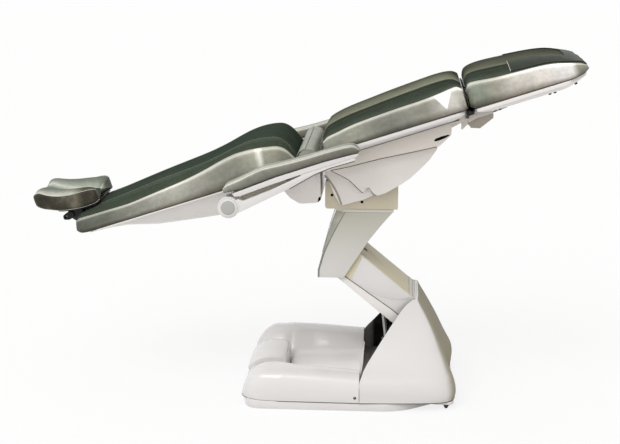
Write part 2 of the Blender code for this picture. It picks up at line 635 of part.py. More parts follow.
def tray(outline_points, low, high, inset):
    # A shallow pan: plan outline, drawn in at its lower edge.
    mid = low + 0.55 * (high - low)
    cx = sum(p[0] for p in outline_points) / len(outline_points)
    xs = [p[0] for p in outline_points]
    ys = [p[1] for p in outline_points]
    kx = 1.0 - 2.0 * inset / (max(xs) - min(xs))
    ky = 1.0 - 2.0 * inset / (max(ys) - min(ys))
    small = [(cx + (x - cx) * kx, y * ky) for x, y in outline_points]
    rings = []
    for ring, z in ((small, low), (outline_points, mid), (outline_points, high)):
        rings.append([(x, y, z) for x, y in ring])
    return loft(rings)


def cushion(stations, u_values):
    # Sections along u: drawn-in sides, a rim, a bolster up to the inner seam and a flat centre.
    rings = []
    for u in u_values:
        hb = between(stations["half"], u)
        wb = between(stations["low"], u)
        wr = between(stations["rim"], u)
        hr = between(stations["rim_half"], u)
        rise = wr - wb
        half = [
            (0.0, wb), (hb - 0.016, wb), (hb - 0.001, wb + 0.05 * rise), (hb, wb + 0.22 * rise),
            (0.55 * hb + 0.45 * hr + 0.004, wb + 0.60 * rise), (hr + 0.010, wr - 0.06 * rise),
            (hr + 0.003, wr - 0.002),
        ] + cushion_top(stations, u, 0.0)
        ring = [(u, y, w) for y, w in half]
        ring += [(u, -y, w) for y, w in reversed(half[1:-1])]
        rings.append(ring)
    return loft(rings)


def cushion_top(stations, u, up):
    # The upper part of a section, from the rim to the middle.
    hr = between(stations["rim_half"], u)
    hs = between(stations["seam_half"], u)
    wr = between(stations["rim"], u) + up
    ws = between(stations["seam"], u) + up
    mid = 0.42 * wr + 0.58 * ws + 0.002
    return [(hr - 0.004, wr + 0.002), (0.5 * (hr + hs), mid), (hs, ws), (0.0, ws + stations["swell"])]


def seat_pieces():
    low = [FRAME_LINE[0] + (0.006,), FRAME_LINE[1], FRAME_LINE[2], FRAME_LINE[3], FRAME_LINE[4] + (0.030,),
           FRAME_LINE[5] + (0.008,)]
    base = low + [(0.319, FRAME_TOP), (-0.140, FRAME_TOP)]
    frame = add("seat_frame", outline([fillet(base, 0.0, 3)], -FRAME_HALF, FRAME_HALF), "tilt_axis",
                "white_shell")
    room = block(-0.105, 0.262, -0.125, 0.125, 0.05, FRAME_TOP + 0.02)
    boolean(frame, tool("frame_room", room, "tilt_axis"), "DIFFERENCE")
    slit = fillet([(0.2445, 0.0955), (0.2950, 0.0985, 0.003), (0.2940, 0.1030, 0.002),
                   (0.2680, 0.1040, 0.01)], 0.0, 3)
    for sign, tag in ((-1, "near"), (1, "far")):
        ends = sorted((sign * (FRAME_HALF - 0.004), sign * (FRAME_HALF + 0.010)))
        boolean(frame, tool("grip_slit_" + tag, outline([slit], *ends), "tilt_axis"), "DIFFERENCE")
    ear = fillet([(0.290, 0.112), (HINGE_K[0] + 0.004, 0.1275, 0.006), (HINGE_K[0] + 0.0085, 0.1362, 0.008),
                  (HINGE_K[0] + 0.004, 0.1446, 0.005), (0.290, 0.1446)], 0.0, 3)
    hole = circle(HINGE_K, 0.005 + GAP, 14)
    rear = fillet([(-0.120, 0.110), (-0.120, 0.1446), (-0.146, 0.1446, 0.01), (-0.1545, 0.168, 0.009),
                   (-0.165, 0.1755, 0.010),
                   (-0.1755, 0.165, 0.010), (-0.170, 0.130, 0.02), (-0.150, 0.110, 0.02)], 0.0, 3)
    hole_b = circle(HINGE_B, HINGE_PIN_R + GAP, 16)
    for sign, tag in ((-1, "near"), (1, "far")):
        ends = sorted((sign * 0.1535, sign * 0.1700))
        boolean(frame, tool("leg_ear_" + tag, outline([ear, hole], *ends), "tilt_axis"), "UNION")
        ends = sorted((sign * 0.1800, sign * 0.1950))
        boolean(frame, tool("back_ear_" + tag, outline([rear, hole_b], *ends), "tilt_axis"), "UNION")
    add("leg_hinge_pin", rod(0.005, (HINGE_K[0], -0.174, HINGE_K[1]), (HINGE_K[0], 0.174, HINGE_K[1]), 18),
        "leg_axis", "steel")
    add("back_hinge_pin", rod(HINGE_PIN_R, (HINGE_B[0], -0.200, HINGE_B[1]),
                              (HINGE_B[0], 0.200, HINGE_B[1]), 20),
        "back_axis", "steel")

    plan = fillet([(-0.092, -SEAT_HALF, 0.05), (0.369, -SEAT_HALF, 0.03), (0.369, SEAT_HALF, 0.03),
                   (-0.092, SEAT_HALF, 0.05)], 0.0, 3)
    add("seat_tray", tray(plan, FRAME_TOP + GAP, SEAT_TRAY_TOP, 0.022), "tilt_axis", "white_shell")

    side = SEAT_HALF
    low = SEAT_TRAY_TOP
    pad = {
        "half": [(-0.104, side - 0.036), (-0.085, side - 0.004), (0.10, side + 0.001), (0.366, side + 0.001),
                 (0.380, side - 0.014)],
        "rim_half": [(-0.104, side - 0.085), (-0.085, side - 0.068), (0.10, side - 0.060),
                     (0.34, side - 0.059),
                     (0.380, side - 0.072)],
        "seam_half": [(-0.104, 0.30 * side), (-0.06, 0.32 * side), (0.34, 0.32 * side), (0.380, 0.28 * side)],
        "low": [(-0.104, low + 0.006), (-0.09, low + GAP), (0.37, low + GAP), (0.380, low + 0.005)],
        "rim": [(-0.104, 0.200), (-0.083, 0.2125), (-0.05, 0.2175), (0.0, 0.2260), (0.07, 0.2315),
                (0.17, 0.2355),
                (0.25, 0.2370), (0.308, 0.2420), (0.343, 0.2465), (0.3655, 0.2460), (0.380, 0.2330)],
        "seam": [(-0.104, 0.206), (-0.096, 0.2190), (-0.083, 0.2320), (-0.05, 0.2430), (0.0, 0.2502),
                 (0.05, 0.2540),
                 (0.10, 0.2580), (0.15, 0.2617), (0.25, 0.2665), (0.30, 0.2680), (0.34, 0.2655),
                 (0.357, 0.2600),
                 (0.370, 0.2500), (0.380, 0.2365)],
        "swell": 0.003,
    }
    steps = (-0.104, -0.098, -0.083, -0.05, 0.02, 0.12, 0.22, 0.305, 0.345, 0.368, 0.380)
    subsurf(add("seat_cushion", cushion(pad, steps), "tilt_axis", "upholstery"), 1)

    def under(u):
        return (u, between(FRAME_LINE, u) - GAP)

    plate = fillet([under(-0.136), (-0.130, 0.058, 0.02), (-0.1265, 0.010, 0.02), (-0.117, -0.031, 0.012),
                    (-0.040, -0.034, 0.01),
                    (0.020, -0.026, 0.03), (0.080, 0.020, 0.03), under(0.159), under(0.060), under(-0.042)],
                    0.0, 3)
    fan = fillet([under(-0.115), (-0.062, 0.052, 0.06), (-0.031, -0.006, 0.004), (-0.016, 0.0045, 0.004),
                  (-0.006, 0.0065, 0.004),
                  (0.002, -0.020, 0.01), (0.014, -0.0300, 0.008), (0.042, -0.0285, 0.03),
                  (0.095, -0.0170, 0.05),
                  (0.135, -0.004, 0.05), (0.173, 0.0145, 0.05), (0.213, 0.0365, 0.05), (0.2435, 0.0600, 0.02),
                  under(0.2530),
                  under(0.159), under(0.060), under(-0.042)], 0.0, 2)
    hole = circle((0.0, 0.0), SHAFT_R + GAP, 20)
    for sign, tag in ((-1, "near"), (1, "far")):
        ends = sorted((sign * PLATE_IN, sign * PLATE_OUT))
        add("tilt_plate_" + tag, outline([plate, hole], *ends), "tilt_axis", "painted_frame")
        ends = sorted((sign * FAN_IN, sign * FAN_OUT))
        side = add("seat_side_cover_" + tag, outline([fan], *ends), "tilt_axis", "white_shell")
        bevel(side, 0.004, 1)


def back_pieces():
    plan = fillet([(-0.962, -BACK_HALF, 0.09), (-0.215, -BACK_HALF, 0.02), (-0.215, BACK_HALF, 0.02),
                   (-0.962, BACK_HALF, 0.09)], 0.0, 5)
    add("back_tray", tray(plan, BACK_TRAY_LOW, BACK_TRAY_TOP, 0.010), "back_axis", "white_shell")

    side = BACK_HALF
    low = BACK_TRAY_TOP
    pad = {
        "half": [(-0.984, side - 0.034), (-0.968, side - 0.014), (-0.93, side - 0.004), (-0.24, side),
                 (-0.203, side - 0.018)],
        "rim_half": [(-0.984, side - 0.066), (-0.968, side - 0.056), (-0.93, side - 0.058),
                     (-0.60, side - 0.064),
                     (-0.24, side - 0.060), (-0.203, side - 0.070)],
        "seam_half": [(-0.984, 0.30 * side), (-0.65, 0.37 * side), (-0.55, 0.42 * side), (-0.45, 0.46 * side),
                      (-0.40, 0.51 * side), (-0.32, 0.55 * side), (-0.28, 0.58 * side),
                      (-0.203, 0.54 * side)],
        "low": [(-0.984, low + 0.011), (-0.972, low + 0.0045), (-0.955, low + GAP), (-0.215, low + GAP),
                (-0.203, low + 0.004)],
        "rim": [(-0.984, 0.190), (-0.975, 0.1955), (-0.90, 0.194), (-0.79, 0.1935), (-0.71, 0.2010),
                (-0.60, 0.2115),
                (-0.526, 0.2220), (-0.45, 0.2390), (-0.41, 0.2465), (-0.341, 0.2475), (-0.302, 0.2410),
                (-0.268, 0.2350),
                (-0.243, 0.2270), (-0.23, 0.2128), (-0.215, 0.185), (-0.203, 0.166)],
        "seam": [(-0.984, 0.1935), (-0.975, 0.2010), (-0.93, 0.2065), (-0.85, 0.2145), (-0.75, 0.2248),
                 (-0.65, 0.2325),
                 (-0.55, 0.2382), (-0.50, 0.2428), (-0.45, 0.2505), (-0.40, 0.2606), (-0.36, 0.2675),
                 (-0.32, 0.2695),
                 (-0.28, 0.2650), (-0.25, 0.2560), (-0.228, 0.236), (-0.212, 0.205), (-0.203, 0.172)],
        "swell": 0.0015,
    }
    steps = (-0.984, -0.979, -0.955, -0.90, -0.79, -0.66, -0.55, -0.45, -0.36, -0.29, -0.25, -0.224, -0.208,
             -0.203)
    soft = add("back_cushion", cushion(pad, steps), "back_axis", "upholstery")
    subsurf(soft, 1)
    room = block(-1.10, -0.70, -BAR_HALF - 0.001, BAR_HALF + 0.001, 0.10, BAR_TOP + 0.001)
    boolean(soft, tool("bar_channel", room, "back_axis"), "DIFFERENCE")

    low = [(-0.950, 0.139), (-0.82, 0.117), (-0.722, 0.087), (-0.568, 0.061), (-0.49, 0.050), (-0.40, 0.050),
           (-0.330, 0.062), (-0.290, 0.082)]
    rings = []
    for u in (-0.945, -0.88, -0.82, -0.722, -0.64, -0.568, -0.49, -0.42, -0.36, -0.320, -0.292):
        deep = between(low, u)
        rise = BACK_TRAY_LOW - GAP - deep
        half = [(0.0, deep), (0.120, deep), (0.150, deep + 0.08 * rise), (0.176, deep + 0.30 * rise),
                (0.196, deep + 0.70 * rise), (0.206, BACK_TRAY_LOW - GAP), (0.0, BACK_TRAY_LOW - GAP)]
        ring = [(u, y, w) for y, w in half] + [(u, -y, w) for y, w in reversed(half[1:-1])]
        rings.append(ring)
    shell = add("back_shell", loft(rings), "back_axis", "white_shell")
    bore = rod(0.012 + GAP, (HUB[0], -0.30, HUB[1]), (HUB[0], 0.30, HUB[1]), 24)
    boolean(shell, tool("shaft_bore", bore, "back_axis"), "DIFFERENCE")
    add("armrest_shaft", rod(0.012, (HUB[0], -0.308, HUB[1]), (HUB[0], 0.308, HUB[1]), 18), "hub_axis",
        "steel")

    # Hinge frame under the tray, with arms reaching the back hinge.
    arm = fillet([(-0.286, 0.112), (-0.210, 0.112, 0.02), (-0.176, 0.128, 0.02), (-0.1545, 0.160, 0.010),
                  (-0.1565, 0.1735, 0.008), (-0.170, 0.1755, 0.008), (-0.183, 0.160, 0.02),
                  (-0.196, BACK_TRAY_LOW - GAP, 0.01),
                  (-0.286, BACK_TRAY_LOW - GAP)], 0.0, 3)
    hole = circle(HINGE_B, HINGE_PIN_R + GAP, 16)
    frame = add("back_frame", block(-0.288, -0.225, -0.176, 0.176, 0.112, BACK_TRAY_LOW - GAP), "back_axis",
                "painted_frame")
    for sign, tag in ((-1, "near"), (1, "far")):
        ends = sorted((sign * 0.1640, sign * 0.1790))
        boolean(frame, tool("back_arm_" + tag, outline([arm, hole], *ends), "back_axis"), "UNION")

    shape = fillet([(-0.2835, 0.1115), (-0.283, 0.080, 0.01), (-0.269, 0.047, 0.02), (-0.244, 0.019, 0.02),
                    (-0.189, 0.005, 0.02), (-0.173, 0.011, 0.004), (-0.147, 0.099, 0.006),
                    (-0.153, 0.1115)], 0.0, 3)
    cover = add("back_hinge_cover", outline([shape], -0.160, 0.160), "back_axis", "white_shell")
    bevel(cover, 0.006, 1)


def armrest_pieces():
    rail_top = [(-0.4130, 0.1510), (-0.368, 0.1540), (-0.261, 0.1605), (-0.097, 0.1615), (-0.010, 0.1580),
                (0.012, 0.1560)]
    pad_shape = [(-0.440, 0.1600, 0.004), (-0.438, 0.174, 0.008), (-0.425, 0.184, 0.02),
                 (-0.375, 0.190, 0.04),
                 (-0.300, 0.2035, 0.06), (-0.230, 0.197, 0.06), (-0.172, 0.193, 0.06), (-0.036, 0.191, 0.03),
                 (0.004, 0.185, 0.008), (0.017, 0.163, 0.004)]
    pad_low = [(x, z + GAP) for x, z in reversed(rail_top[1:])]
    rail = [(x, z) for x, z in rail_top] + [
        (0.004, 0.1470, 0.006), (-0.060, 0.1460, 0.02), (-0.181, 0.1455, 0.02), (-0.290, 0.1420, 0.02),
        (-0.392, 0.1365, 0.02),
        (-0.4095, 0.1400, 0.002)]
    lower = [(-0.002, 0.1462, 0.004), (-0.006, 0.1370, 0.004), (-0.088, 0.1385, 0.02), (-0.143, 0.1330, 0.05),
             (-0.233, 0.1130, 0.08), (-0.424, 0.0840, 0.01), (-0.424, 0.1280, 0.0), (-0.400, 0.1280, 0.0),
             (-0.388, 0.1180, 0.012),
             (-0.290, 0.1260, 0.05), (-0.184, 0.1415, 0.003), (-0.186, 0.1446, 0.002), (-0.060, 0.1455, 0.0)]
    for sign, tag in ((-1, "near"), (1, "far")):
        y = sign * ARM_Y
        low = y - ARM_PIECE_HALF
        high = y + ARM_PIECE_HALF
        hub = rod(HUB_R, (HUB[0], y - 0.030, HUB[1]), (HUB[0], y + 0.030, HUB[1]), 24)
        ends = sorted((sign * 0.285, sign * (ARM_Y - 0.030 + 0.010)))
        obj = add("armrest_hub_" + tag, hub, "hub_axis", "painted_frame")
        core = rod(0.012 + GAP, (HUB[0], ends[0], HUB[1]), (HUB[0], ends[1], HUB[1]), 24)
        boolean(obj, tool("hub_bore_" + tag, core, "hub_axis"), "DIFFERENCE")
        arm = add("armrest_arm_" + tag, outline([fillet(lower, 0.0, 3)], low, high), "hub_axis",
                  "white_shell")
        collar = rod(HUB_R + 0.0055, (HUB[0], low - 0.001, HUB[1]), (HUB[0], high + 0.001, HUB[1]), 24)
        boolean(arm, tool("collar_" + tag, collar, "hub_axis"), "UNION")
        eye = rod(HUB_R + GAP, (HUB[0], low - 0.02, HUB[1]), (HUB[0], high + 0.02, HUB[1]), 24)
        boolean(arm, tool("collar_eye_" + tag, eye, "hub_axis"), "DIFFERENCE")
        top = add("armrest_rail_" + tag, outline([fillet(rail, 0.0, 3)], low, high), "hub_axis",
                  "white_shell")
        bevel(top, 0.002, 1)
        pad = add("armrest_pad_" + tag, outline([fillet(pad_shape + pad_low, 0.0, 2)], low - 0.004,
                                                high + 0.004),
                  "hub_axis", "upholstery")
        bevel(pad, 0.008, 2, 40.0)


def leg_pieces():
    shape = fillet([(0.3575, 0.1275, 0.004), (HINGE_K[0] - 0.0085, 0.1360, 0.008),
                    (HINGE_K[0] - 0.004, 0.1446, 0.006),
                    (0.3985, 0.1446, 0.004), (0.400, LEG_TRAY_LOW - GAP), (0.503, LEG_TRAY_LOW - GAP),
                    (0.503, 0.124, 0.004),
                    (0.446, 0.120, 0.006), (0.440, 0.100, 0.006), (0.366, 0.1015, 0.010)], 0.0, 3)
    hole = circle(HINGE_K, 0.005 + GAP, 14)
    bracket = add("leg_bracket", outline([shape, hole], -0.150, 0.150), "leg_axis", "white_shell")
    bevel(bracket, 0.002, 1)
    plan = fillet([(0.399, -LEG_HALF, 0.03), (0.71, -LEG_HALF, 0.06), (0.776, -0.150, 0.08),
                   (0.776, 0.150, 0.08),
                   (0.71, LEG_HALF, 0.06), (0.399, LEG_HALF, 0.03)], 0.0, 5)
    add("leg_tray", tray(plan, LEG_TRAY_LOW, LEG_TRAY_TOP, 0.030), "leg_axis", "white_shell")
    side = LEG_HALF
    low = LEG_TRAY_TOP
    pad = {
        "half": [(0.389, side - 0.014), (0.401, side - 0.002), (0.71, side - 0.002), (0.752, side - 0.033),
                 (0.776, side - 0.070), (0.787, side - 0.096)],
        "rim_half": [(0.389, side - 0.075), (0.405, side - 0.062), (0.60, side - 0.060), (0.70, side - 0.064),
                     (0.752, side - 0.076), (0.776, side - 0.098), (0.787, side - 0.118)],
        "seam_half": [(0.389, 0.29 * side), (0.41, 0.33 * side), (0.44, 0.38 * side), (0.48, 0.43 * side),
                      (0.64, 0.43 * side),
                      (0.70, 0.41 * side), (0.752, 0.35 * side), (0.787, 0.27 * side)],
        "low": [(0.389, low + 0.012), (0.40, low + 0.005), (0.425, low + GAP), (0.764, low + GAP),
                (0.787, low + 0.007)],
        "rim": [(0.389, 0.218), (0.396, 0.2395), (0.41, 0.2438), (0.442, 0.2405), (0.474, 0.2358),
                (0.53, 0.2330),
                (0.61, 0.2292), (0.67, 0.2244), (0.70, 0.2165), (0.73, 0.2068), (0.754, 0.1985),
                (0.772, 0.1895), (0.787, 0.177)],
        "seam": [(0.389, 0.226), (0.396, 0.2530), (0.41, 0.2630), (0.44, 0.2668), (0.48, 0.2648),
                 (0.52, 0.2610), (0.56, 0.2575),
                 (0.60, 0.2530), (0.64, 0.2476), (0.68, 0.2392), (0.71, 0.2272), (0.74, 0.2122),
                 (0.768, 0.1965), (0.787, 0.1795)],
        "swell": 0.002,
    }
    steps = (0.389, 0.393, 0.408, 0.45, 0.53, 0.61, 0.67, 0.718, 0.755, 0.778, 0.787)
    subsurf(add("leg_cushion", cushion(pad, steps), "leg_axis", "upholstery"), 1)

    # Foot protector: a U-shaped sheet over the bolsters and the end of the cushion.
    rings = []
    for u in (0.632, 0.67, 0.718, 0.755, 0.770):
        row = []
        for up in (0.0006, 0.0030):
            half = cushion_top(pad, u, up)
            line = [(u, y, w) for y, w in half] + [(u, -y, w) for y, w in reversed(half[:-1])]
            row += line if up < 0.001 else line[::-1]
        rings.append(row)
    guard = add("foot_protector", loft(rings), "leg_axis", "black_plastic")
    half = 0.43 * side - 0.004
    mouth = fillet([(0.60, -half), (0.690, -half, 0.03), (0.726, -half + 0.030, 0.03),
                    (0.726, half - 0.030, 0.03),
                    (0.690, half, 0.03), (0.60, half)], 0.0, 2)
    boolean(guard, tool("guard_mouth", outline([mouth], 0.15, 0.30, "Z"), "leg_axis"), "DIFFERENCE")


def head_pieces():
    bar = [(-0.720, BAR_LOW), (-1.020, BAR_LOW, 0.004), (-1.043, 0.180, 0.01), (-1.0425, 0.199, 0.008),
           (-1.033, 0.2075, 0.008), (-1.022, 0.2035, 0.008), (-1.010, BAR_TOP, 0.008), (-0.720, BAR_TOP)]
    hole = circle(HEAD_PIVOT, HINGE_PIN_R + GAP, 16)
    add("headrest_bar", outline([fillet(bar, 0.0, 4), hole], -BAR_HALF, BAR_HALF), "head_slide_axis", "steel")

    lever = add("headrest_lock_lever", rod(HINGE_PIN_R, (HEAD_PIVOT[0], -0.062, HEAD_PIVOT[1]),
                                           (HEAD_PIVOT[0], 0.040, HEAD_PIVOT[1]), 20), "head_tilt_axis",
                                           "black_plastic")
    grip = fillet([(-1.018, 0.186), (-1.018, 0.206), (-1.034, 0.210), (-1.056, 0.203), (-1.058, 0.188),
                   (-1.040, 0.183)], 0.007, 3)
    eye = circle((-1.0465, 0.1955), 0.0045, 12)
    boolean(lever, tool("lever_grip", outline([grip, eye], -0.070, -0.046), "head_tilt_axis"), "UNION")

    floor = [(-1.116, 0.2680), (-1.107, 0.2615), (-1.088, 0.2495), (-1.056, 0.237), (-1.034, 0.2285),
             (-1.006, 0.2234),
             (-0.971, 0.218), (-0.942, 0.2166), (-0.9156, 0.2175), (-0.904, 0.2215)]
    over = [(u, between(floor, u) - GAP) for u in (-1.062, -1.034, -1.006, -0.971, -0.944)]
    below = [(u, w - 0.006) for u, w in reversed(over)]
    plate = add("headrest_plate", outline([over + below], -0.090, 0.090), "head_tilt_axis", "black_plastic")
    ear = fillet([(-1.052, 0.231), (-1.042, 0.196, 0.009), (-1.034, 0.1835, 0.009), (-1.021, 0.188, 0.009),
                  (-1.006, 0.221)], 0.0, 3)
    for sign, tag in ((-1, "near"), (1, "far")):
        ends = sorted((sign * (BAR_HALF + 0.0005), sign * 0.034))
        boolean(plate, tool("head_ear_" + tag, outline([ear, hole], *ends), "head_tilt_axis"), "UNION")

    edge = [(-1.116, 0.301), (-1.107, 0.3085), (-1.090, 0.3090), (-1.054, 0.2890), (-1.028, 0.2795),
            (-1.004, 0.275),
            (-0.9685, 0.2714), (-0.943, 0.2712), (-0.918, 0.2690), (-0.904, 0.2610)]
    crest = [(-1.116, 0.305), (-1.107, 0.3150), (-1.090, 0.3180), (-1.0625, 0.3085), (-1.03, 0.2962),
             (-0.996, 0.2870),
             (-0.961, 0.2810), (-0.933, 0.2755), (-0.917, 0.2705), (-0.904, 0.2620)]
    wide = [(-1.116, 0.120), (-1.107, 0.131), (-1.06, 0.138), (-0.965, 0.136), (-0.931, 0.130),
            (-0.912, 0.121), (-0.904, 0.108)]
    rings = []
    for u in (-1.116, -1.111, -1.095, -1.06, -1.01, -0.965, -0.935, -0.913, -0.904):
        wb = between(floor, u)
        we = between(edge, u)
        wt = between(crest, u)
        h = between(wide, u)
        dip = 0.026 * min(1.0, max(0.3, (u + 1.13) / 0.15))
        notch = 0.030 * max(0.0, (u + 1.0) / 0.096)
        head = 0.012 * max(0.0, (-1.06 - u) / 0.056)
        half = [(0.0, wb), (0.9 * h, wb + 0.001), (h, wb + 0.006), (h + 0.002, 0.5 * (wb + we)),
                (h, we - 0.005), (0.95 * h, we),
                (0.80 * h, 0.4 * we + 0.6 * wt), (0.62 * h, wt), (0.42 * h, wt - 0.45 * dip),
                (0.20 * h, wt - 0.9 * dip),
                (0.0, wt - dip)]
        ring = []
        for y, w in half + [(-y, w) for y, w in reversed(half[1:-1])]:
            share = 1.0 - min(1.0, abs(y) / 0.085) ** 2
            ring.append((u - notch * share + head * share, y, w))
        rings.append(ring)
    subsurf(add("headrest_pad", loft(rings), "head_tilt_axis", "upholstery"), 1)


base_pieces()
lift_pieces()
elbow_pieces()
swivel_pieces()
seat_pieces()
back_pieces()
armrest_pieces()
leg_pieces()
head_pieces()
bpy.context.view_layer.update()
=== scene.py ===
import json
import math

import bmesh
import bpy
from mathutils import Matrix, Vector


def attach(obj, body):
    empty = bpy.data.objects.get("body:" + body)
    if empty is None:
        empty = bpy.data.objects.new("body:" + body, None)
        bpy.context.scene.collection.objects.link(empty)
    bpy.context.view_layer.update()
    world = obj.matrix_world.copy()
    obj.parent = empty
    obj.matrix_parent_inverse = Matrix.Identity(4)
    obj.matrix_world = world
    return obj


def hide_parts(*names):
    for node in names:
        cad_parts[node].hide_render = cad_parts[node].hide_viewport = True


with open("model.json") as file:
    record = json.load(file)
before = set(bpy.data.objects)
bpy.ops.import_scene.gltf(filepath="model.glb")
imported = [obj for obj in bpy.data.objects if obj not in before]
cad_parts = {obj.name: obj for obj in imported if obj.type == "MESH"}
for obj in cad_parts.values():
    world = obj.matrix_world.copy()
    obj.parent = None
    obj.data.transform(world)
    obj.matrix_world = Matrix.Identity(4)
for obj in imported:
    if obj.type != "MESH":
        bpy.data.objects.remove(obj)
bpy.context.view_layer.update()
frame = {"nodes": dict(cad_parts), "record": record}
nodes = frame["nodes"]
scene = bpy.context.scene

# Chair frame: u along the seat, y across, w square to the seat, about the tilt shaft. Lengths are in metres.
LEAN = math.radians(18.0)
TILT = Vector((0.075, 0.0, 0.735))
CHAIR = Matrix.Translation(TILT) @ Matrix.Rotation(-LEAN, 4, "Y")
# Base covers: thickness, lower edge, and where the front one meets the rear one
WALL = 0.004
LOW = 0.0283
SEAM_X = 0.045
# Lift arm, back hinge and knee
ARM_ANGLE = math.radians(39.7)
ARM_LEN = 0.357
ELBOW = (0.222 - ARM_LEN * math.cos(ARM_ANGLE), 0.2426 + ARM_LEN * math.sin(ARM_ANGLE))
HINGE = (-0.165, 0.165)
KNEE = (0.37, 0.136)
# Foot and height of the elbow cover, over which its painted shade runs
ELBOW_LOW = 0.41
ELBOW_TALL = 0.235
# The two sides and the sign of y there
SIDES = (("near", -1.0), ("far", 1.0))
# Edges, swelling and stitches
PLATE_EDGE = 0.0004
NODE_EDGE = 0.0012
SWELL_CAP = 0.002
CLOTH_FRAMES = 20
STITCH_PITCH = 0.0065
STITCH_LONG = 0.0042
STITCH_THICK = 0.00045


def at(u, y, w):
    # Chair frame to the shared frame.
    return CHAIR @ Vector((u, y, w))


def on_arm(s, n, y):
    # Lift arm frame to the shared frame.
    c = math.cos(ARM_ANGLE)
    d = math.sin(ARM_ANGLE)
    return Vector((ELBOW[0] + s * c + n * d, y, ELBOW[1] - s * d + n * c))


# Materials

SOCKETS = {
    "rough": "Roughness", "metal": "Metallic", "level": "Specular IOR Level", "coat": "Coat Weight",
    "coat_rough": "Coat Roughness",
}


def new_mat(name):
    mat = bpy.data.materials.new(name)
    mat.use_nodes = True
    return mat, mat.node_tree, mat.node_tree.nodes["Principled BSDF"]


def noise(tree, scale, detail=4.0, rough=0.55):
    # Noise over the object's own coordinates.
    coord = tree.nodes.new("ShaderNodeTexCoord")
    tex = tree.nodes.new("ShaderNodeTexNoise")
    tex.inputs["Scale"].default_value = scale
    tex.inputs["Detail"].default_value = detail
    tex.inputs["Roughness"].default_value = rough
    tree.links.new(coord.outputs["Object"], tex.inputs["Vector"])
    return tex.outputs["Fac"]


def ramp(tree, source, stops):
    # Colours along a value, from (place, colour) stops.
    node = tree.nodes.new("ShaderNodeValToRGB")
    parts = node.color_ramp.elements
    while len(parts) < len(stops):
        parts.new(0.5)
    for part, (spot, color) in zip(parts, stops):
        part.position = spot
        part.color = tuple(color) + (1.0,)
    tree.links.new(source, node.inputs["Fac"])
    return node.outputs["Color"]


def calc(tree, operation, a, b=0.0):
    # Arithmetic on values or sockets.
    node = tree.nodes.new("ShaderNodeMath")
    node.operation = operation
    for socket, value in zip(node.inputs, (a, b)):
        if isinstance(value, float):
            socket.default_value = value
        else:
            tree.links.new(value, socket)
    return node.outputs[0]


def blend(tree, how, factor, a, b):
    # A colour mix; a factor or colour may be a value or a socket.
    node = tree.nodes.new("ShaderNodeMix")
    node.data_type = "RGBA"
    node.blend_type = how
    for index, value in ((0, factor), (6, a), (7, b)):
        if isinstance(value, float):
            node.inputs[index].default_value = value
        elif isinstance(value, tuple):
            node.inputs[index].default_value = value + (1.0,)
        else:
            tree.links.new(value, node.inputs[index])
    return node.outputs[2]


def split_axes(tree, output):
    # The X, Y and Z of one texture coordinate.
    coord = tree.nodes.new("ShaderNodeTexCoord")
    axes = tree.nodes.new("ShaderNodeSeparateXYZ")
    tree.links.new(coord.outputs[output], axes.inputs["Vector"])
    return axes.outputs


def attribute(tree, name):
    node = tree.nodes.new("ShaderNodeAttribute")
    node.attribute_name = name
    return node.outputs["Fac"]


def shade(color, k):
    return tuple(c * k for c in color)


def grey(k):
    return (k, k, k)


def paint(tree, shader, color):
    tree.links.new(color, shader.inputs["Base Color"])


def settle(shader, **values):
    # Constant values on the shader's own sockets, by the short names above.
    for word, value in values.items():
        shader.inputs[SOCKETS[word]].default_value = value


def bump(tree, shader, source, strength, distance):
    node = tree.nodes.new("ShaderNodeBump")
    node.inputs["Strength"].default_value = strength
    node.inputs["Distance"].default_value = distance
    tree.links.new(source, node.inputs["Height"])
    tree.links.new(node.outputs["Normal"], shader.inputs["Normal"])


def orange_peel(tree, shader):
    # The fine ripple of a moulded or painted shell.
    ripple = noise(tree, scale=260.0, detail=2.0)
    bump(tree, shader, ripple, strength=0.03, distance=0.0004)


def gloss(shader, rough, coat):
    # A clear coat over a shell.
    settle(shader, rough=rough, coat=coat, coat_rough=0.07)


def shell_mat(name, color, rough, coat, level=0.5):
    # Moulded shell: even colour with slow drift and a faint orange peel.
    mat, tree, shader = new_mat(name)
    tint = noise(tree, scale=5.0, detail=3.0)
    mixed = ramp(tree, tint, [(0.35, shade(color, 0.965)), (0.65, color)])
    paint(tree, shader, mixed)
    settle(shader, level=level)
    gloss(shader, rough, coat)
    orange_peel(tree, shader)
    return mat


def grain(tree, shader):
    # The fine cells of artificial leather.
    coord = tree.nodes.new("ShaderNodeTexCoord")
    cells = tree.nodes.new("ShaderNodeTexVoronoi")
    cells.inputs["Scale"].default_value = 620.0
    tree.links.new(coord.outputs["Object"], cells.inputs["Vector"])
    bump(tree, shader, cells.outputs["Distance"], strength=0.1, distance=0.0006)


def vinyl_mat(name, color, rough, metal, level):
    # Artificial leather: fine grain, slow colour drift and rubbed patches.
    mat, tree, shader = new_mat(name)
    slow = noise(tree, scale=8.0, detail=4.0)
    mixed = ramp(tree, slow, [(0.3, shade(color, 0.82)), (0.7, color)])
    paint(tree, shader, mixed)
    wear_and_sheen = noise(tree, scale=21.0, detail=3.0)
    dull = ramp(tree, wear_and_sheen, [(0.35, grey(rough - 0.05)), (0.7, grey(rough + 0.08))])
    tree.links.new(dull, shader.inputs["Roughness"])
    settle(shader, metal=metal, level=level)
    grain(tree, shader)
    return mat


def mottle(tree, color, scale, dark, light):
    # Cloudy patches and fine creases over a colour.
    cloud = noise(tree, scale, 5.0, 0.6)
    patch = ramp(tree, cloud, [(0.32, grey(dark)), (0.68, grey(light))])
    color = blend(tree, "MULTIPLY", 1.0, color, patch)
    crease = noise(tree, scale=70.0, detail=3.0, rough=0.6)
    lines = ramp(tree, crease, [(0.35, grey(0.9)), (0.65, grey(1.06))])
    return blend(tree, "MULTIPLY", 1.0, color, lines)


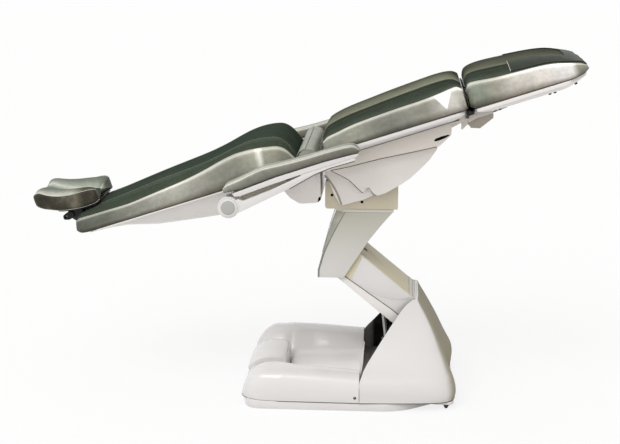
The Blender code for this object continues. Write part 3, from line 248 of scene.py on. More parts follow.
def panel_mat(name, run, glint_wedge=None):
    # Silver vinyl of a side panel: tones along the cushion that are painted reflections,
    # painted shade towards the lower edge and a painted highlight on the upper roll.
    # A glint wedge is a painted highlight, as its place along, the slope of its sides and the height of its
    # foot.
    mat, tree, shader = new_mat(name)
    along = attribute(tree, "along")
    rise = attribute(tree, "rise")
    # Painted reflections: the tone runs along the cushion.
    tone = ramp(tree, along, run)
    # Painted shade: darker towards the lower edge, lighter towards the top.
    level = ramp(tree, rise, PANEL_HEIGHT_SHADE)
    lift = blend(tree, "MULTIPLY", 1.0, tone, level)
    color = mottle(tree, lift, scale=11.0, dark=0.8, light=1.12)
    # Painted highlight on the upper roll, added to the colour.
    roll = ramp(tree, rise, PANEL_ROLL_HIGHLIGHT)
    shine = blend(tree, "MULTIPLY", 1.0, roll, blend(tree, "MIX", 0.5, tone, (0.5, 0.49, 0.46)))
    color = blend(tree, "ADD", 1.0, color, shine)
    if glint_wedge:
        middle, slope, foot = glint_wedge
        away = calc(tree, "ABSOLUTE", calc(tree, "SUBTRACT", along, middle))
        spread = calc(tree, "MULTIPLY", away, slope)
        edge = calc(tree, "SUBTRACT", calc(tree, "SUBTRACT", rise, foot), spread)
        glint_mask = ramp(tree, calc(tree, "MULTIPLY", edge, 12.0), [(0.0, grey(0.0)), (1.0, grey(1.0))])
        # The glint wedge is a painted near-white highlight.
        color = blend(tree, "MIX", glint_mask, color, (0.9, 0.89, 0.88))
    paint(tree, shader, color)
    settle(shader, rough=0.42, metal=0.15, level=0.25)
    grain(tree, shader)
    return mat


def top_mat(name, stops, level=0.0, rough=0.5, ends=None):
    # Vinyl of the top panels, with painted sheen and shade from the near edge to the far edge.
    mat, tree, shader = new_mat(name)
    tone = ramp(tree, attribute(tree, "across"), stops)
    color = mottle(tree, tone, scale=9.0, dark=0.86, light=1.1)
    # Painted shade: the near part darkened towards one end by the ends stops.
    if ends:
        near = ramp(tree, attribute(tree, "across"), [(0.3, grey(1.0)), (0.46, grey(0.0))])
        fade = ramp(tree, attribute(tree, "along"), ends)
        color = blend(tree, "MULTIPLY", near, color, fade)
    paint(tree, shader, color)
    settle(shader, rough=rough, level=level)
    grain(tree, shader)
    return mat


def patch_mat(name, stops, wear_and_sheen):
    # Dark vinyl with cloudy patches and a painted sheen, lighter along one stretch.
    mat, tree, shader = new_mat(name)
    cloud = noise(tree, scale=13.0, detail=5.0, rough=0.6)
    tone = ramp(tree, cloud, stops)
    painted_sheen = blend(tree, "MULTIPLY", 1.0, ramp(tree, attribute(tree, "along"), wear_and_sheen),
                   ramp(tree, cloud, [(0.36, grey(0.15)), (0.62, grey(1.0))]))
    color = blend(tree, "ADD", 1.0, tone, painted_sheen)
    paint(tree, shader, color)
    settle(shader, rough=0.42, level=0.15)
    grain(tree, shader)
    return mat


def tower_mat(name):
    # White shell with painted warm grey shade on its rear slope.
    mat, tree, shader = new_mat(name)
    facing = split_axes(tree, "Normal")
    # Painted warm shade on faces turned towards the rear.
    slope = ramp(tree, facing["X"], [(0.45, grey(0.0)), (0.8, grey(1.0))])
    color = blend(tree, "MIX", slope, (0.69, 0.67, 0.66), (0.45, 0.425, 0.345))
    paint(tree, shader, color)
    shine = ramp(tree, facing["X"], [(0.4, grey(0.5)), (0.7, grey(0.0))])
    tree.links.new(shine, shader.inputs["Coat Weight"])
    tree.links.new(shine, shader.inputs["Specular IOR Level"])
    settle(shader, rough=0.25, coat_rough=0.07)
    orange_peel(tree, shader)
    return mat


def elbow_mat(name):
    # White shell with painted shade: greyer towards the top, and grey-green on the chamfers.
    mat, tree, shader = new_mat(name)
    above = calc(tree, "SUBTRACT", split_axes(tree, "Object")["Z"], ELBOW_LOW)
    height = calc(tree, "DIVIDE", above, ELBOW_TALL)
    # Painted shade: greyer towards the top.
    tone = ramp(tree, height, [(0.0, (0.7, 0.68, 0.66)), (0.45, (0.63, 0.61, 0.57)),
                               (1.0, (0.49, 0.475, 0.4))])
    # Painted shade on the chamfers turned outwards and towards the head end.
    facing = split_axes(tree, "Normal")
    turned_out = calc(tree, "SUBTRACT", calc(tree, "ABSOLUTE", facing["Y"]), facing["X"])
    slant = calc(tree, "MULTIPLY", turned_out, 0.7071)
    band = ramp(tree, slant, [(0.93, grey(0.0)), (0.97, grey(1.0))])
    color = blend(tree, "MIX", band, tone, (0.27, 0.3, 0.245))
    paint(tree, shader, color)
    settle(shader, rough=0.28, coat=0.4)
    orange_peel(tree, shader)
    return mat


def pocket_mat(name):
    # White shell with painted light: a little lighter in the foot pocket.
    mat, tree, shader = new_mat(name)
    side = calc(tree, "ABSOLUTE", split_axes(tree, "Object")["Y"])
    # Painted light: lighter near the middle of the pocket.
    tone = ramp(tree, side, [(0.13, (0.86, 0.84, 0.82)), (0.2, (0.72, 0.7, 0.69))])
    paint(tree, shader, tone)
    gloss(shader, rough=0.25, coat=0.5)
    orange_peel(tree, shader)
    return mat


def inside_mat(name):
    # Inner face of the covers with painted shade: pale at the mouth, dark further in.
    mat, tree, shader = new_mat(name)
    tone = ramp(tree, split_axes(tree, "Object")["X"],
                [(0.056, (0.62, 0.6, 0.57)), (0.082, (0.02, 0.016, 0.013))])
    spots = noise(tree, scale=40.0, detail=3.0)
    dust = ramp(tree, spots, [(0.35, grey(0.85)), (0.65, grey(1.0))])
    color = blend(tree, "MULTIPLY", 1.0, tone, dust)
    paint(tree, shader, color)
    settle(shader, rough=0.6, level=0.1)
    return mat


def metal_mat(name, color, rough, metal=1.0):
    # Metal with a fine mottle.
    mat, tree, shader = new_mat(name)
    spots = noise(tree, scale=80.0, detail=3.0)
    mixed = ramp(tree, spots, [(0.35, shade(color, 0.88)), (0.65, color)])
    paint(tree, shader, mixed)
    settle(shader, rough=rough, metal=metal)
    return mat


# Painted shade up the side panels, dark at the foot and bright at the top, and a painted highlight on the
# upper roll.
PANEL_HEIGHT_SHADE = [(0.0, (0.36, 0.34, 0.31)), (0.06, (0.46, 0.44, 0.41)), (0.2, (0.66, 0.65, 0.63)),
              (0.45, (0.8, 0.8, 0.79)), (0.75, (0.95, 0.95, 0.94)), (1.0, (1.05, 1.05, 1.04))]
PANEL_ROLL_HIGHLIGHT = [(0.8, grey(0.0)), (0.88, grey(0.2)), (0.94, grey(0.95)), (1.0, grey(0.85))]

# Shells take a colour, a roughness, a clear coat and a specular level. Vinyls take a colour, a roughness,
# a metal share and a specular level. Tops and panels take tones as (place, colour), which paint in light and
# shade.
WHITE = shell_mat("white_shell", (0.72, 0.7, 0.69), 0.25, 0.5)
TOWER = tower_mat("tower_shell")
POCKET = pocket_mat("front_shell")
INSIDE = inside_mat("cover_inside")
SHELL = shell_mat("seat_shell", (0.8, 0.755, 0.725), 0.28, 0.4)
SEAT_FRAME = shell_mat("seat_frame_paint", (0.74, 0.685, 0.625), 0.34, 0.25)
TRAY = shell_mat("tray_shell", (0.82, 0.785, 0.76), 0.3, 0.3)
BEIGE = shell_mat("beige_shell", (0.72, 0.66, 0.485), 0.45, 0.0, 0.12)
BLOCK = shell_mat("bracket_beige", (0.6, 0.54, 0.41), 0.34, 0.2)
# Beige bracket colour darkened with painted shade, on the leg bracket and its gusset.
BRACKET = shell_mat("leg_bracket_shaded_beige", (0.4, 0.355, 0.3), 0.4, 0.1)
HUB = shell_mat("hub_shell", (0.74, 0.72, 0.7), 0.3, 0.3)
FRAME = shell_mat("painted_frame", (0.66, 0.63, 0.58), 0.36, 0.2)
ELBOW_SHELL = elbow_mat("elbow_shell")
GREY = shell_mat("grey_cap", (0.42, 0.42, 0.4), 0.4, 0.1)
DARK = vinyl_mat("vinyl_dark", (0.042, 0.05, 0.037), 0.5, 0.0, 0.06)
# The near edge of the seat and leg tops, up to their sewn line; all top tones are painted sheen and shade
TOP_NEAR = [(0.0, (0.105, 0.108, 0.08)), (0.04, (0.066, 0.074, 0.056)), (0.12, (0.072, 0.083, 0.064)),
            (0.2, (0.046, 0.058, 0.044)), (0.325, (0.036, 0.043, 0.03))]
SEAT_TOP = top_mat("vinyl_seat_top", TOP_NEAR + [
    (0.345, (0.25, 0.255, 0.195)), (0.41, (0.19, 0.195, 0.14)), (0.52, (0.115, 0.12, 0.085)),
    (0.66, (0.06, 0.064, 0.046)), (1.0, (0.05, 0.055, 0.04))])
LEG_TOP = top_mat("vinyl_leg_top", TOP_NEAR + [
    (0.345, (0.165, 0.17, 0.128)), (0.41, (0.118, 0.122, 0.088)), (0.52, (0.075, 0.079, 0.057)),
    (0.66, (0.052, 0.056, 0.041)), (1.0, (0.05, 0.055, 0.04))])
# Painted sheen and shade across the back top.
BACK_TOP = top_mat("vinyl_back_top", [
    (0.0, (0.105, 0.108, 0.08)), (0.04, (0.062, 0.072, 0.052)), (0.22, (0.052, 0.067, 0.049)),
    (0.31, (0.076, 0.09, 0.068)), (0.36, (0.046, 0.062, 0.046)), (0.55, (0.044, 0.058, 0.043)),
    (0.7, (0.05, 0.058, 0.044)), (1.0, (0.05, 0.058, 0.044))])
# Side panels: the tones along each cushion are painted reflections and shade; the seat's glint wedge is a
# painted highlight.
SIDE_SEAT = panel_mat("silver_seat", [
    (0.0, (0.3, 0.305, 0.255)), (0.2, (0.31, 0.31, 0.255)), (0.5, (0.185, 0.185, 0.157)),
    (0.74, (0.29, 0.285, 0.24)), (0.84, (0.52, 0.5, 0.455)), (0.94, (0.64, 0.615, 0.565)),
    (1.0, (0.5, 0.485, 0.43))], glint_wedge=(0.868, 10.4, 0.24))
SIDE_BACK = panel_mat("silver_back", [
    (0.0, (0.105, 0.112, 0.088)), (0.15, (0.12, 0.128, 0.1)), (0.3, (0.3, 0.3, 0.26)),
    (0.47, (0.44, 0.43, 0.38)), (0.6, (0.285, 0.28, 0.24)), (0.75, (0.215, 0.215, 0.17)),
    (0.835, (0.3, 0.295, 0.235)), (0.855, (0.7, 0.68, 0.62)), (0.875, (0.26, 0.255, 0.2)),
    (1.0, (0.19, 0.19, 0.145))])
SIDE_LEG = panel_mat("silver_leg", [
    (0.0, (0.22, 0.245, 0.195)), (0.14, (0.235, 0.255, 0.205)), (0.24, (0.33, 0.315, 0.265)),
    (0.4, (0.57, 0.535, 0.49)), (0.6, (0.68, 0.64, 0.595)), (0.78, (0.88, 0.85, 0.83)),
    (0.86, (0.88, 0.85, 0.83)), (0.91, (0.31, 0.3, 0.24)), (1.0, (0.25, 0.24, 0.19))])
ARM_SIDE = panel_mat("silver_arm_side", [
    (0.0, (0.37, 0.37, 0.325)), (0.3, (0.265, 0.26, 0.22)), (1.0, (0.19, 0.185, 0.155))])
# Painted highlight on the near edge of the armrest tops, painted shade further back.
ARM_TOP = top_mat("silver_arm_top", [
    (0.0, (0.6, 0.6, 0.54)), (0.22, (0.55, 0.55, 0.49)), (0.5, (0.27, 0.29, 0.235)),
    (1.0, (0.22, 0.235, 0.19))], level=0.2, rough=0.4)
# The head sides' lighter stretch and light patches are painted sheen.
HEAD_SIDE = patch_mat(
    "vinyl_head_side",
    [(0.4, (0.027, 0.025, 0.017)), (0.58, (0.046, 0.042, 0.029)), (0.72, (0.12, 0.112, 0.082))],
    [(0.4, grey(0.0)), (0.6, (0.05, 0.046, 0.033)), (0.78, (0.115, 0.105, 0.075)),
     (0.92, (0.01, 0.01, 0.008))])
# Painted highlights on the head top's edges and far lobe, painted shade in the hollow and towards the end.
HEAD_TOP = top_mat("vinyl_head_top", [
    (0.0, (0.62, 0.62, 0.55)), (0.06, (0.46, 0.47, 0.4)), (0.13, (0.24, 0.26, 0.215)),
    (0.2, (0.14, 0.16, 0.125)), (0.36, (0.15, 0.17, 0.135)), (0.5, (0.5, 0.52, 0.46)),
    (0.58, (0.6, 0.62, 0.55)), (0.65, (0.36, 0.385, 0.325)), (0.74, (0.2, 0.225, 0.18)),
    (0.82, (0.13, 0.15, 0.115)), (1.0, (0.11, 0.125, 0.1))],
    level=0.03, rough=0.4, ends=[(0.7, grey(1.0)), (0.84, (0.55, 0.53, 0.46)), (0.94, (0.17, 0.16, 0.125))])
ROLL = vinyl_mat("silver_roll", (0.33, 0.345, 0.285), 0.42, 0.15, 0.2)
RIM = vinyl_mat("vinyl_rim", (0.52, 0.51, 0.46), 0.4, 0.2, 0.3)
THREAD = vinyl_mat("thread", (0.16, 0.165, 0.125), 0.6, 0.0, 0.1)
SHEET = vinyl_mat("protector_sheet", (0.038, 0.046, 0.034), 0.45, 0.0, 0.08)
STEEL = metal_mat("steel", (0.55, 0.55, 0.54), 0.28)
BLACK = shell_mat("black_plastic", (0.014, 0.014, 0.013), 0.38, 0.05, 0.2)
DARK_FRAME = metal_mat("dark_frame", (0.026, 0.022, 0.019), 0.5, 0.2)
# Dark joints, and painted shadow lines along the fan and frame edges.
LINE = shell_mat("joint_and_shadow_line", (0.16, 0.14, 0.11), 0.6, 0.0, 0.1)
# Painted shade of a groove or a slot.
GROOVE = shell_mat("plate_groove", (0.34, 0.32, 0.265), 0.5, 0.0, 0.2)
MOSS = shell_mat("elbow_edge", (0.12, 0.135, 0.105), 0.5, 0.0, 0.1)
SHADOW = shell_mat("joint_shadow", (0.055, 0.045, 0.036), 0.6, 0.0, 0.03)
HOLE = shell_mat("hole_black", grey(0.006), 0.7, 0.0, 0.0)

BY_SLOT = {
    "white_shell": WHITE, "plinth": WHITE, "beige_shell": BEIGE, "steel": STEEL, "painted_frame": FRAME,
    "hub_plastic": HUB, "black_plastic": BLACK, "dark_frame": DARK_FRAME,
}
BY_NODE = {
    "seat_frame": SEAT_FRAME, "seat_side_cover_near": SHELL, "seat_side_cover_far": SHELL,
    "tilt_plate_near": SHELL, "tilt_plate_far": SHELL, "seat_bracket": BLOCK, "back_hinge_cover": SHELL,
    "leg_bracket": BRACKET, "leg_tray": TRAY, "back_tray": TRAY, "back_shell": TRAY,
    "elbow_cover": ELBOW_SHELL, "headrest_bar": DARK_FRAME,
}

# Mesh helpers


def spline(points, count, cyclic=False):
    # Centripetal Catmull-Rom refinement of a list of vectors.
    out = []
    total = len(points)
    spans = total if cyclic else total - 1
    for i in range(spans):
        b = points[i]
        c = points[(i + 1) % total]
        if cyclic:
            a = points[i - 1]
            d = points[(i + 2) % total]
        else:
            a = points[i - 1] if i > 0 else b * 2.0 - c
            d = points[i + 2] if i + 2 < total else c * 2.0 - b
        ab = max((b - a).length, 1e-6) ** 0.5
        bc = max((c - b).length, 1e-6) ** 0.5
        cd = max((d - c).length, 1e-6) ** 0.5
        m1 = ((b - a) / ab - (c - a) / (ab + bc) + (c - b) / bc) * bc
        m2 = ((c - b) / bc - (d - b) / (bc + cd) + (d - c) / cd) * bc
        for k in range(count):
            t = k / count
            h1 = 2 * t ** 3 - 3 * t ** 2 + 1
            h2 = t ** 3 - 2 * t ** 2 + t
            h3 = -2 * t ** 3 + 3 * t ** 2
            h4 = t ** 3 - t ** 2
            out.append(b * h1 + m1 * h2 + c * h3 + m2 * h4)
    if not cyclic:
        out.append(points[-1].copy())
    return out


def grid_refine(rows, along, across, cyclic=False):
    # Refines a grid of vectors both ways.
    wide = [spline(row, across, cyclic) for row in rows]
    columns = [spline([row[j] for row in wide], along) for j in range(len(wide[0]))]
    return [[columns[j][i] for j in range(len(columns))] for i in range(len(columns[0]))]


def finish_mesh(name, verts, faces):
    mesh = bpy.data.meshes.new(name)
    mesh.from_pydata([tuple(v) for v in verts], [], faces)
    bm = bmesh.new()
    bm.from_mesh(mesh)
    bmesh.ops.recalc_face_normals(bm, faces=bm.faces)
    bm.to_mesh(mesh)
    bm.free()
    return mesh


def ring_mesh(name, rows):
    # Closed rings lofted along, with flat ends.
    count = len(rows[0])
    faces = []
    for i in range(len(rows) - 1):
        for j in range(count):
            k = (j + 1) % count
            faces.append((i * count + j, i * count + k, (i + 1) * count + k, (i + 1) * count + j))
    faces.append(tuple(range(count)))
    faces.append(tuple((len(rows) - 1) * count + j for j in range(count)))
    return finish_mesh(name, [p for row in rows for p in row], faces)


def shell_mesh(name, outer, inner):
    # Two open sheets joined along their borders.
    n = len(outer)
    m = len(outer[0])
    size = n * m
    faces = []
    for i in range(n - 1):
        for j in range(m - 1):
            a = i * m + j
            faces.append((a, a + 1, a + m + 1, a + m))
            faces.append((size + a, size + a + m, size + a + m + 1, size + a + 1))
    for i in range(n - 1):
        for j in (0, m - 1):
            a = i * m + j
            faces.append((a, a + m, size + a + m, size + a))
    for j in range(m - 1):
        for i in (0, n - 1):
            a = i * m + j
            faces.append((a, a + 1, size + a + 1, size + a))
    verts = [p for row in outer for p in row] + [p for row in inner for p in row]
    return finish_mesh(name, verts, faces)


def piece(name, mesh, mats, body):
    # A new visible piece with its materials, on the body that carries it.
    obj = bpy.data.objects.new(name, mesh)
    scene.collection.objects.link(obj)
    for mat in mats if isinstance(mats, (list, tuple)) else [mats]:
        mesh.materials.append(mat)
    mesh.polygons.foreach_set("use_smooth", [True] * len(mesh.polygons))
    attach(obj, body)
    return obj


def split(obj, degrees):
    # Sharp edges over an angle.
    mod = obj.modifiers.new("split", "EDGE_SPLIT")
    mod.split_angle = math.radians(degrees)


def soften(obj, width):
    # Eased edges.
    mod = obj.modifiers.new("edge", "BEVEL")
    mod.width = width
    mod.segments = 2
    mod.limit_method = "ANGLE"
    mod.angle_limit = math.radians(42.0)


def tube(name, points, radius, mat, body):
    # A round bead along a line of points.
    curve = bpy.data.curves.new(name, "CURVE")
    curve.dimensions = "3D"
    curve.bevel_depth = radius
    curve.bevel_resolution = 2
    curve.use_fill_caps = True
    line = curve.splines.new("POLY")
    line.points.add(len(points) - 1)
    for p, v in zip(line.points, points):
        p.co = (v[0], v[1], v[2], 1.0)
    holder = bpy.data.objects.new(name, curve)
    scene.collection.objects.link(holder)
    graph = bpy.context.evaluated_depsgraph_get()
    mesh = bpy.data.meshes.new_from_object(holder.evaluated_get(graph))
    bpy.data.objects.remove(holder)
    mesh.materials.clear()
    piece(name, mesh, mat, body)


def turned(name, centre, axis, profile, mat, body, segments=20):
    # A turned cap or stud: (radius, height) profile about the axis.
    turns = [2.0 * math.pi * k / segments for k in range(segments)]
    rows = [[Vector((r * math.cos(t), r * math.sin(t), h)) for t in turns] for r, h in profile]
    mesh = ring_mesh(name, rows)
    turn = Vector(axis).to_track_quat("Z", "Y").to_matrix().to_4x4()
    mesh.transform(Matrix.Translation(centre) @ turn)
    obj = piece(name, mesh, mat, body)
    split(obj, 35.0)


def plate(name, outline, mat, body):
    # A flat piece between two like outlines, with eased edges.
    obj = piece(name, ring_mesh(name, outline), mat, body)
    soften(obj, PLATE_EDGE)
    split(obj, 34.0)


def between(table, x):
    # The value of a table of (x, value) at x.
    if x <= table[0][0]:
        return table[0][1]
    for (x0, v0), (x1, v1) in zip(table, table[1:]):
        if x <= x1:
            return v0 + (v1 - v0) * (x - x0) / (x1 - x0)
    return table[-1][1]


def read(x, *tables):
    return [between(table, x) for table in tables]


def mirrored(half):
    # A ring of (y, w) from its half section, which starts and ends in the middle.
    return half + [(-y, w) for y, w in reversed(half[1:-1])]


def inset(line, wall):
    # The parallel of an open section line.
    out = []
    last = len(line) - 1
    for i, point in enumerate(line):
        one = Vector(line[i]) - Vector(line[i - 1]) if i > 0 else Vector(line[1]) - Vector(line[0])
        two = Vector(line[i + 1]) - Vector(line[i]) if i < last else one
        one = one.normalized()
        two = two.normalized()
        square = Vector((one.y + two.y, -one.x - two.x))
        share = max(square.length / 2.0, 0.6)
        step = square.normalized() * (wall / share)
        out.append((point[0] + step.x, point[1] + step.y))
    return out


# Hard CAD nodes: finish by node or else by slot, eased edges

slot_of = {s["node"]: s["material_slot"] for s in frame["record"]["subparts"]}


def dress(name, mat, width):
    # A CAD node with its finish, welded, with eased edges where a width is given.
    obj = nodes[name]
    obj.data.materials.clear()
    obj.data.materials.append(mat)
    if "custom_normal" in obj.data.attributes:
        obj.data.attributes.remove(obj.data.attributes["custom_normal"])
    obj.data.polygons.foreach_set("use_smooth", [True] * len(obj.data.polygons))
    weld = obj.modifiers.new("weld", "WELD")
    weld.merge_threshold = 0.00002
    if width > 0.0:
        flat = obj.modifiers.new("flat", "DECIMATE")
        flat.decimate_type = "DISSOLVE"
        flat.angle_limit = math.radians(1.0)
        soften(obj, width)
    split(obj, 34.0)


REPLACED = {
    "seat_cushion", "back_cushion", "leg_cushion", "headrest_pad", "armrest_pad_near", "armrest_pad_far",
    "base_front_cover", "base_rear_cover", "foot_protector", "foot_pedal",
}
WIDTH = {"base_plinth": 0.004, "elbow_cover": 0.0015, "seat_tray": 0.002}
for name in nodes:
    if name not in REPLACED:
        mat = BY_NODE.get(name, BY_SLOT.get(slot_of[name]))
        dress(name, mat, 0.0 if "pin" in name else WIDTH.get(name, NODE_EDGE))

# Base covers: the CAD sections, refined


def front_cover():
    # Upright half sections from the middle of the foot pocket, over the rim and down the side.
    top = [(-0.357, 0.036), (-0.35, 0.062), (-0.338, 0.086), (-0.316, 0.112), (-0.288, 0.129),
           (-0.22, 0.134), (-0.1, 0.128), (0.045, 0.117)]
    wide = [(-0.357, 0.232), (-0.35, 0.252), (-0.338, 0.268), (-0.316, 0.283), (-0.288, 0.293),
            (-0.22, 0.299), (0.045, 0.3)]
    slim = [(-0.357, 0.19), (-0.35, 0.168), (-0.338, 0.15), (-0.316, 0.132), (-0.288, 0.118),
            (-0.245, 0.108), (-0.205, 0.128), (-0.15, 0.15), (0.045, 0.156)]
    floor = [(-0.357, 0.0345), (-0.338, 0.035), (-0.288, 0.0355), (-0.232, 0.037), (-0.218, 0.04),
             (-0.205, 0.0545), (-0.15, 0.055), (0.045, 0.059)]
    outer = []
    inner = []
    for x in (-0.357, -0.35, -0.338, -0.316, -0.288, -0.245, -0.218, -0.205, -0.15, -0.08, -0.01, SEAM_X):
        t, w, a, f = read(x, top, wide, slim, floor)
        rise = t - f
        half = [
            (0.0, f), (0.5 * a, f), (0.84 * a, f), (a, f + 0.1 * rise),
            (a + 0.022 * (w - a) / 0.14, f + 0.5 * rise), (a + 0.3 * (w - a), f + 0.86 * rise),
            (a + 0.47 * (w - a), t), (a + 0.68 * (w - a), t - 0.02 * rise),
            (w - 0.014, t - 0.16 * (t - LOW)), (w - 0.003, t - 0.42 * (t - LOW)),
            (w, LOW + 0.22 * (t - LOW)), (w - 0.002, LOW),
        ]
        line = [(-y, z) for y, z in reversed(half[1:])] + half
        outer.append([Vector((x, y, z)) for y, z in line])
        inner.append([Vector((x, y, max(z, LOW))) for y, z in inset(line, WALL)])
    outer = grid_refine(outer, along=4, across=4)
    inner = grid_refine(inner, along=4, across=4)
    outer.insert(0, [Vector((p.x - 0.0004, p.y, LOW)) for p in outer[0]])
    inner.insert(0, [Vector((p.x + 0.003, p.y, LOW)) for p in inner[0]])
    return outer, inner


def rear_cover():
    # Level half sections from the seam, round the corner, to the middle of the rear slope.
    front = [(LOW, SEAM_X + 0.0003), (0.1, SEAM_X + 0.0003), (0.133, 0.062), (0.316, 0.19), (0.341, 0.222)]
    side = [(LOW, 0.3), (0.07, 0.2995), (0.095, 0.293), (0.112, 0.276), (0.135, 0.246), (0.17, 0.214),
            (0.22, 0.18), (0.28, 0.148), (0.341, 0.125)]
    rear = [(LOW, 0.366), (0.055, 0.372), (0.09, 0.362), (0.122, 0.347), (0.214, 0.308), (0.284, 0.272),
            (0.341, 0.238)]
    corner = [(LOW, 0.262), (0.055, 0.268), (0.095, 0.25), (0.122, 0.228), (0.17, 0.19), (0.214, 0.168),
              (0.284, 0.136), (0.341, 0.118)]
    valley = [(LOW, 0.012), (0.06, 0.022), (0.122, 0.022), (0.2, 0.01), (0.26, 0.0), (0.341, 0.0)]
    outer = []
    inner = []
    for z in (LOW, 0.045, 0.07, 0.095, 0.112, 0.135, 0.17, 0.22, 0.28, 0.32, 0.341):
        f, s, r, c, v = read(z, front, side, rear, corner, valley)
        half = [
            (f, s), (f + 0.22 * (r - f), s + 0.1 * (c - s)), (f + 0.45 * (r - f), s + 0.22 * (c - s)),
            (f + 0.68 * (r - f), s + 0.4 * (c - s)), (f + 0.86 * (r - f), s + 0.7 * (c - s)),
            (f + 0.955 * (r - f), 0.97 * c), (r - 0.002, 0.85 * c), (r - 0.1 * v, 0.68 * c),
            (r - 0.6 * v, 0.45 * c), (r - 0.95 * v, 0.2 * c), (r - v, 0.0),
        ]
        line = [(x, -y) for x, y in half] + list(reversed(half[:-1]))
        outer.append([Vector((x, y, z)) for x, y in line])
        inner.append([Vector((x, y, z)) for x, y in inset(line, -WALL)])
    return [grid_refine(sheet, along=4, across=4) for sheet in (outer, inner)]


def cover_piece(name, sheets, node, finish):
    # Its finish outside, the painted inner shade inside: the two sheets' faces take turns in the mesh.
    mesh = shell_mesh(name, *sheets)
    obj = piece(name, mesh, [finish, INSIDE], "base")
    for i in range(1, 2 * (len(sheets[0]) - 1) * (len(sheets[0][0]) - 1), 2):
        mesh.polygons[i].material_index = 1
    split(obj, 50.0)
    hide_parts(node)


front_sheets = front_cover()
rear_sheets = rear_cover()
cover_piece("front_cover_shell", front_sheets, "base_front_cover", POCKET)
cover_piece("rear_cover_shell", rear_sheets, "base_rear_cover", TOWER)

# Parting lines of the base: above the plinth, and where the two covers meet
SKIRT_BEAD = 0.0011
SKIRT_Z = LOW - 0.0006
MEET_FROM = 0.245
for tag, sign, edge in (("near", -1.0, 0), ("far", 1.0, -1)):
    front_edge = [Vector((row[edge].x, row[edge].y, SKIRT_Z)) for row in front_sheets[0]]
    tube("skirt_line_front_" + tag, front_edge, SKIRT_BEAD, SHADOW, "base")
    side = [p for p in front_sheets[0][-1] if p.y * sign > MEET_FROM]
    meet = [Vector((SEAM_X, p.y + sign * 0.0002, p.z)) for p in side]
    tube("cover_seam_" + tag, meet, radius=0.0009, mat=LINE, body="base")
rear_edge = [Vector((p.x, p.y, SKIRT_Z)) for p in rear_sheets[0][0]]
tube("skirt_line_rear", rear_edge, SKIRT_BEAD, SHADOW, "base")

# Pedal hood: the CAD profile, crowned across
HOOD_HALF = 0.0978


def hood_rows():
    profile = [(-0.2165, 0.0424), (-0.2165, 0.08), (-0.2185, 0.113), (-0.24, 0.1255), (-0.275, 0.1262),
               (-0.312, 0.1165), (-0.338, 0.096), (-0.35, 0.079), (-0.3462, 0.071), (-0.328, 0.093),
               (-0.3, 0.105), (-0.248, 0.107), (-0.233, 0.096), (-0.232, 0.07), (-0.232, 0.0404)]
    rows = []
    for y in (-HOOD_HALF, -0.0965, -0.092, -0.075, -0.04, 0.0, 0.04, 0.075, 0.092, 0.0965, HOOD_HALF):
        drop = 0.014 * (abs(y) / HOOD_HALF) ** 4
        rows.append([Vector((x, y, z - drop * max(0.0, (z - 0.045) / 0.081))) for x, z in profile])
    return rows


hood_mesh = ring_mesh("pedal_hood", grid_refine(hood_rows(), along=3, across=3, cyclic=True))
hood = piece("pedal_hood", hood_mesh, WHITE, "pedal")
split(hood, 55.0)
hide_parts("foot_pedal")

# Cushions: CAD sections refined, swelled by cloth between pinned seams


def cushion_rows(stations, u_values):
    # Half sections from the middle below, up the side, over the rim and the seam to the middle above.
    rows = []
    for u in u_values:
        hb, hr, hs = read(u, stations["half"], stations["rim_half"], stations["seam_half"])
        wb, wr, ws = read(u, stations["low"], stations["rim"], stations["seam"])
        rise = wr - wb
        half = [
            (0.0, wb), (hb - 0.016, wb), (hb - 0.001, wb + 0.05 * rise), (hb, wb + 0.22 * rise),
            (0.55 * hb + 0.45 * hr + 0.003, wb + 0.6 * rise), (hr + 0.009, wr - 0.06 * rise),
            (hr + 0.003, wr - 0.002), (hr - 0.004, wr + 0.002),
            (0.5 * (hr + hs), 0.42 * wr + 0.58 * ws + 0.002), (hs, ws),
            (0.0, ws + stations["swell"]),
        ]
        rows.append([Vector((u, y, w)) for y, w in mirrored(half)])
    return rows


def swell(obj, pinned, cap):
    # Cloth with pressure between pinned seams, applied to the mesh.
    rest = [v.co.copy() for v in obj.data.vertices]
    group = obj.vertex_groups.new(name="pin")
    group.add(pinned, 1.0, "REPLACE")
    mod = obj.modifiers.new("cloth", "CLOTH")
    mod.settings.vertex_group_mass = "pin"
    mod.settings.use_pressure = True
    mod.settings.uniform_pressure_force = 4.0
    mod.settings.effector_weights.gravity = 0.0
    mod.settings.quality = 4
    mod.settings.mass = 0.3
    mod.collision_settings.use_collision = False
    mod.point_cache.frame_start = 1
    mod.point_cache.frame_end = CLOTH_FRAMES
    for f in range(1, CLOTH_FRAMES + 1):
        scene.frame_set(f)
    graph = bpy.context.evaluated_depsgraph_get()
    moved = [v.co.copy() for v in obj.evaluated_get(graph).data.vertices]
    obj.modifiers.remove(mod)
    obj.vertex_groups.clear()
    scene.frame_set(1)
    for v, a, b in zip(obj.data.vertices, rest, moved):
        step = b - a
        if step.length > cap:
            step = step.normalized() * cap
        v.co = a + step


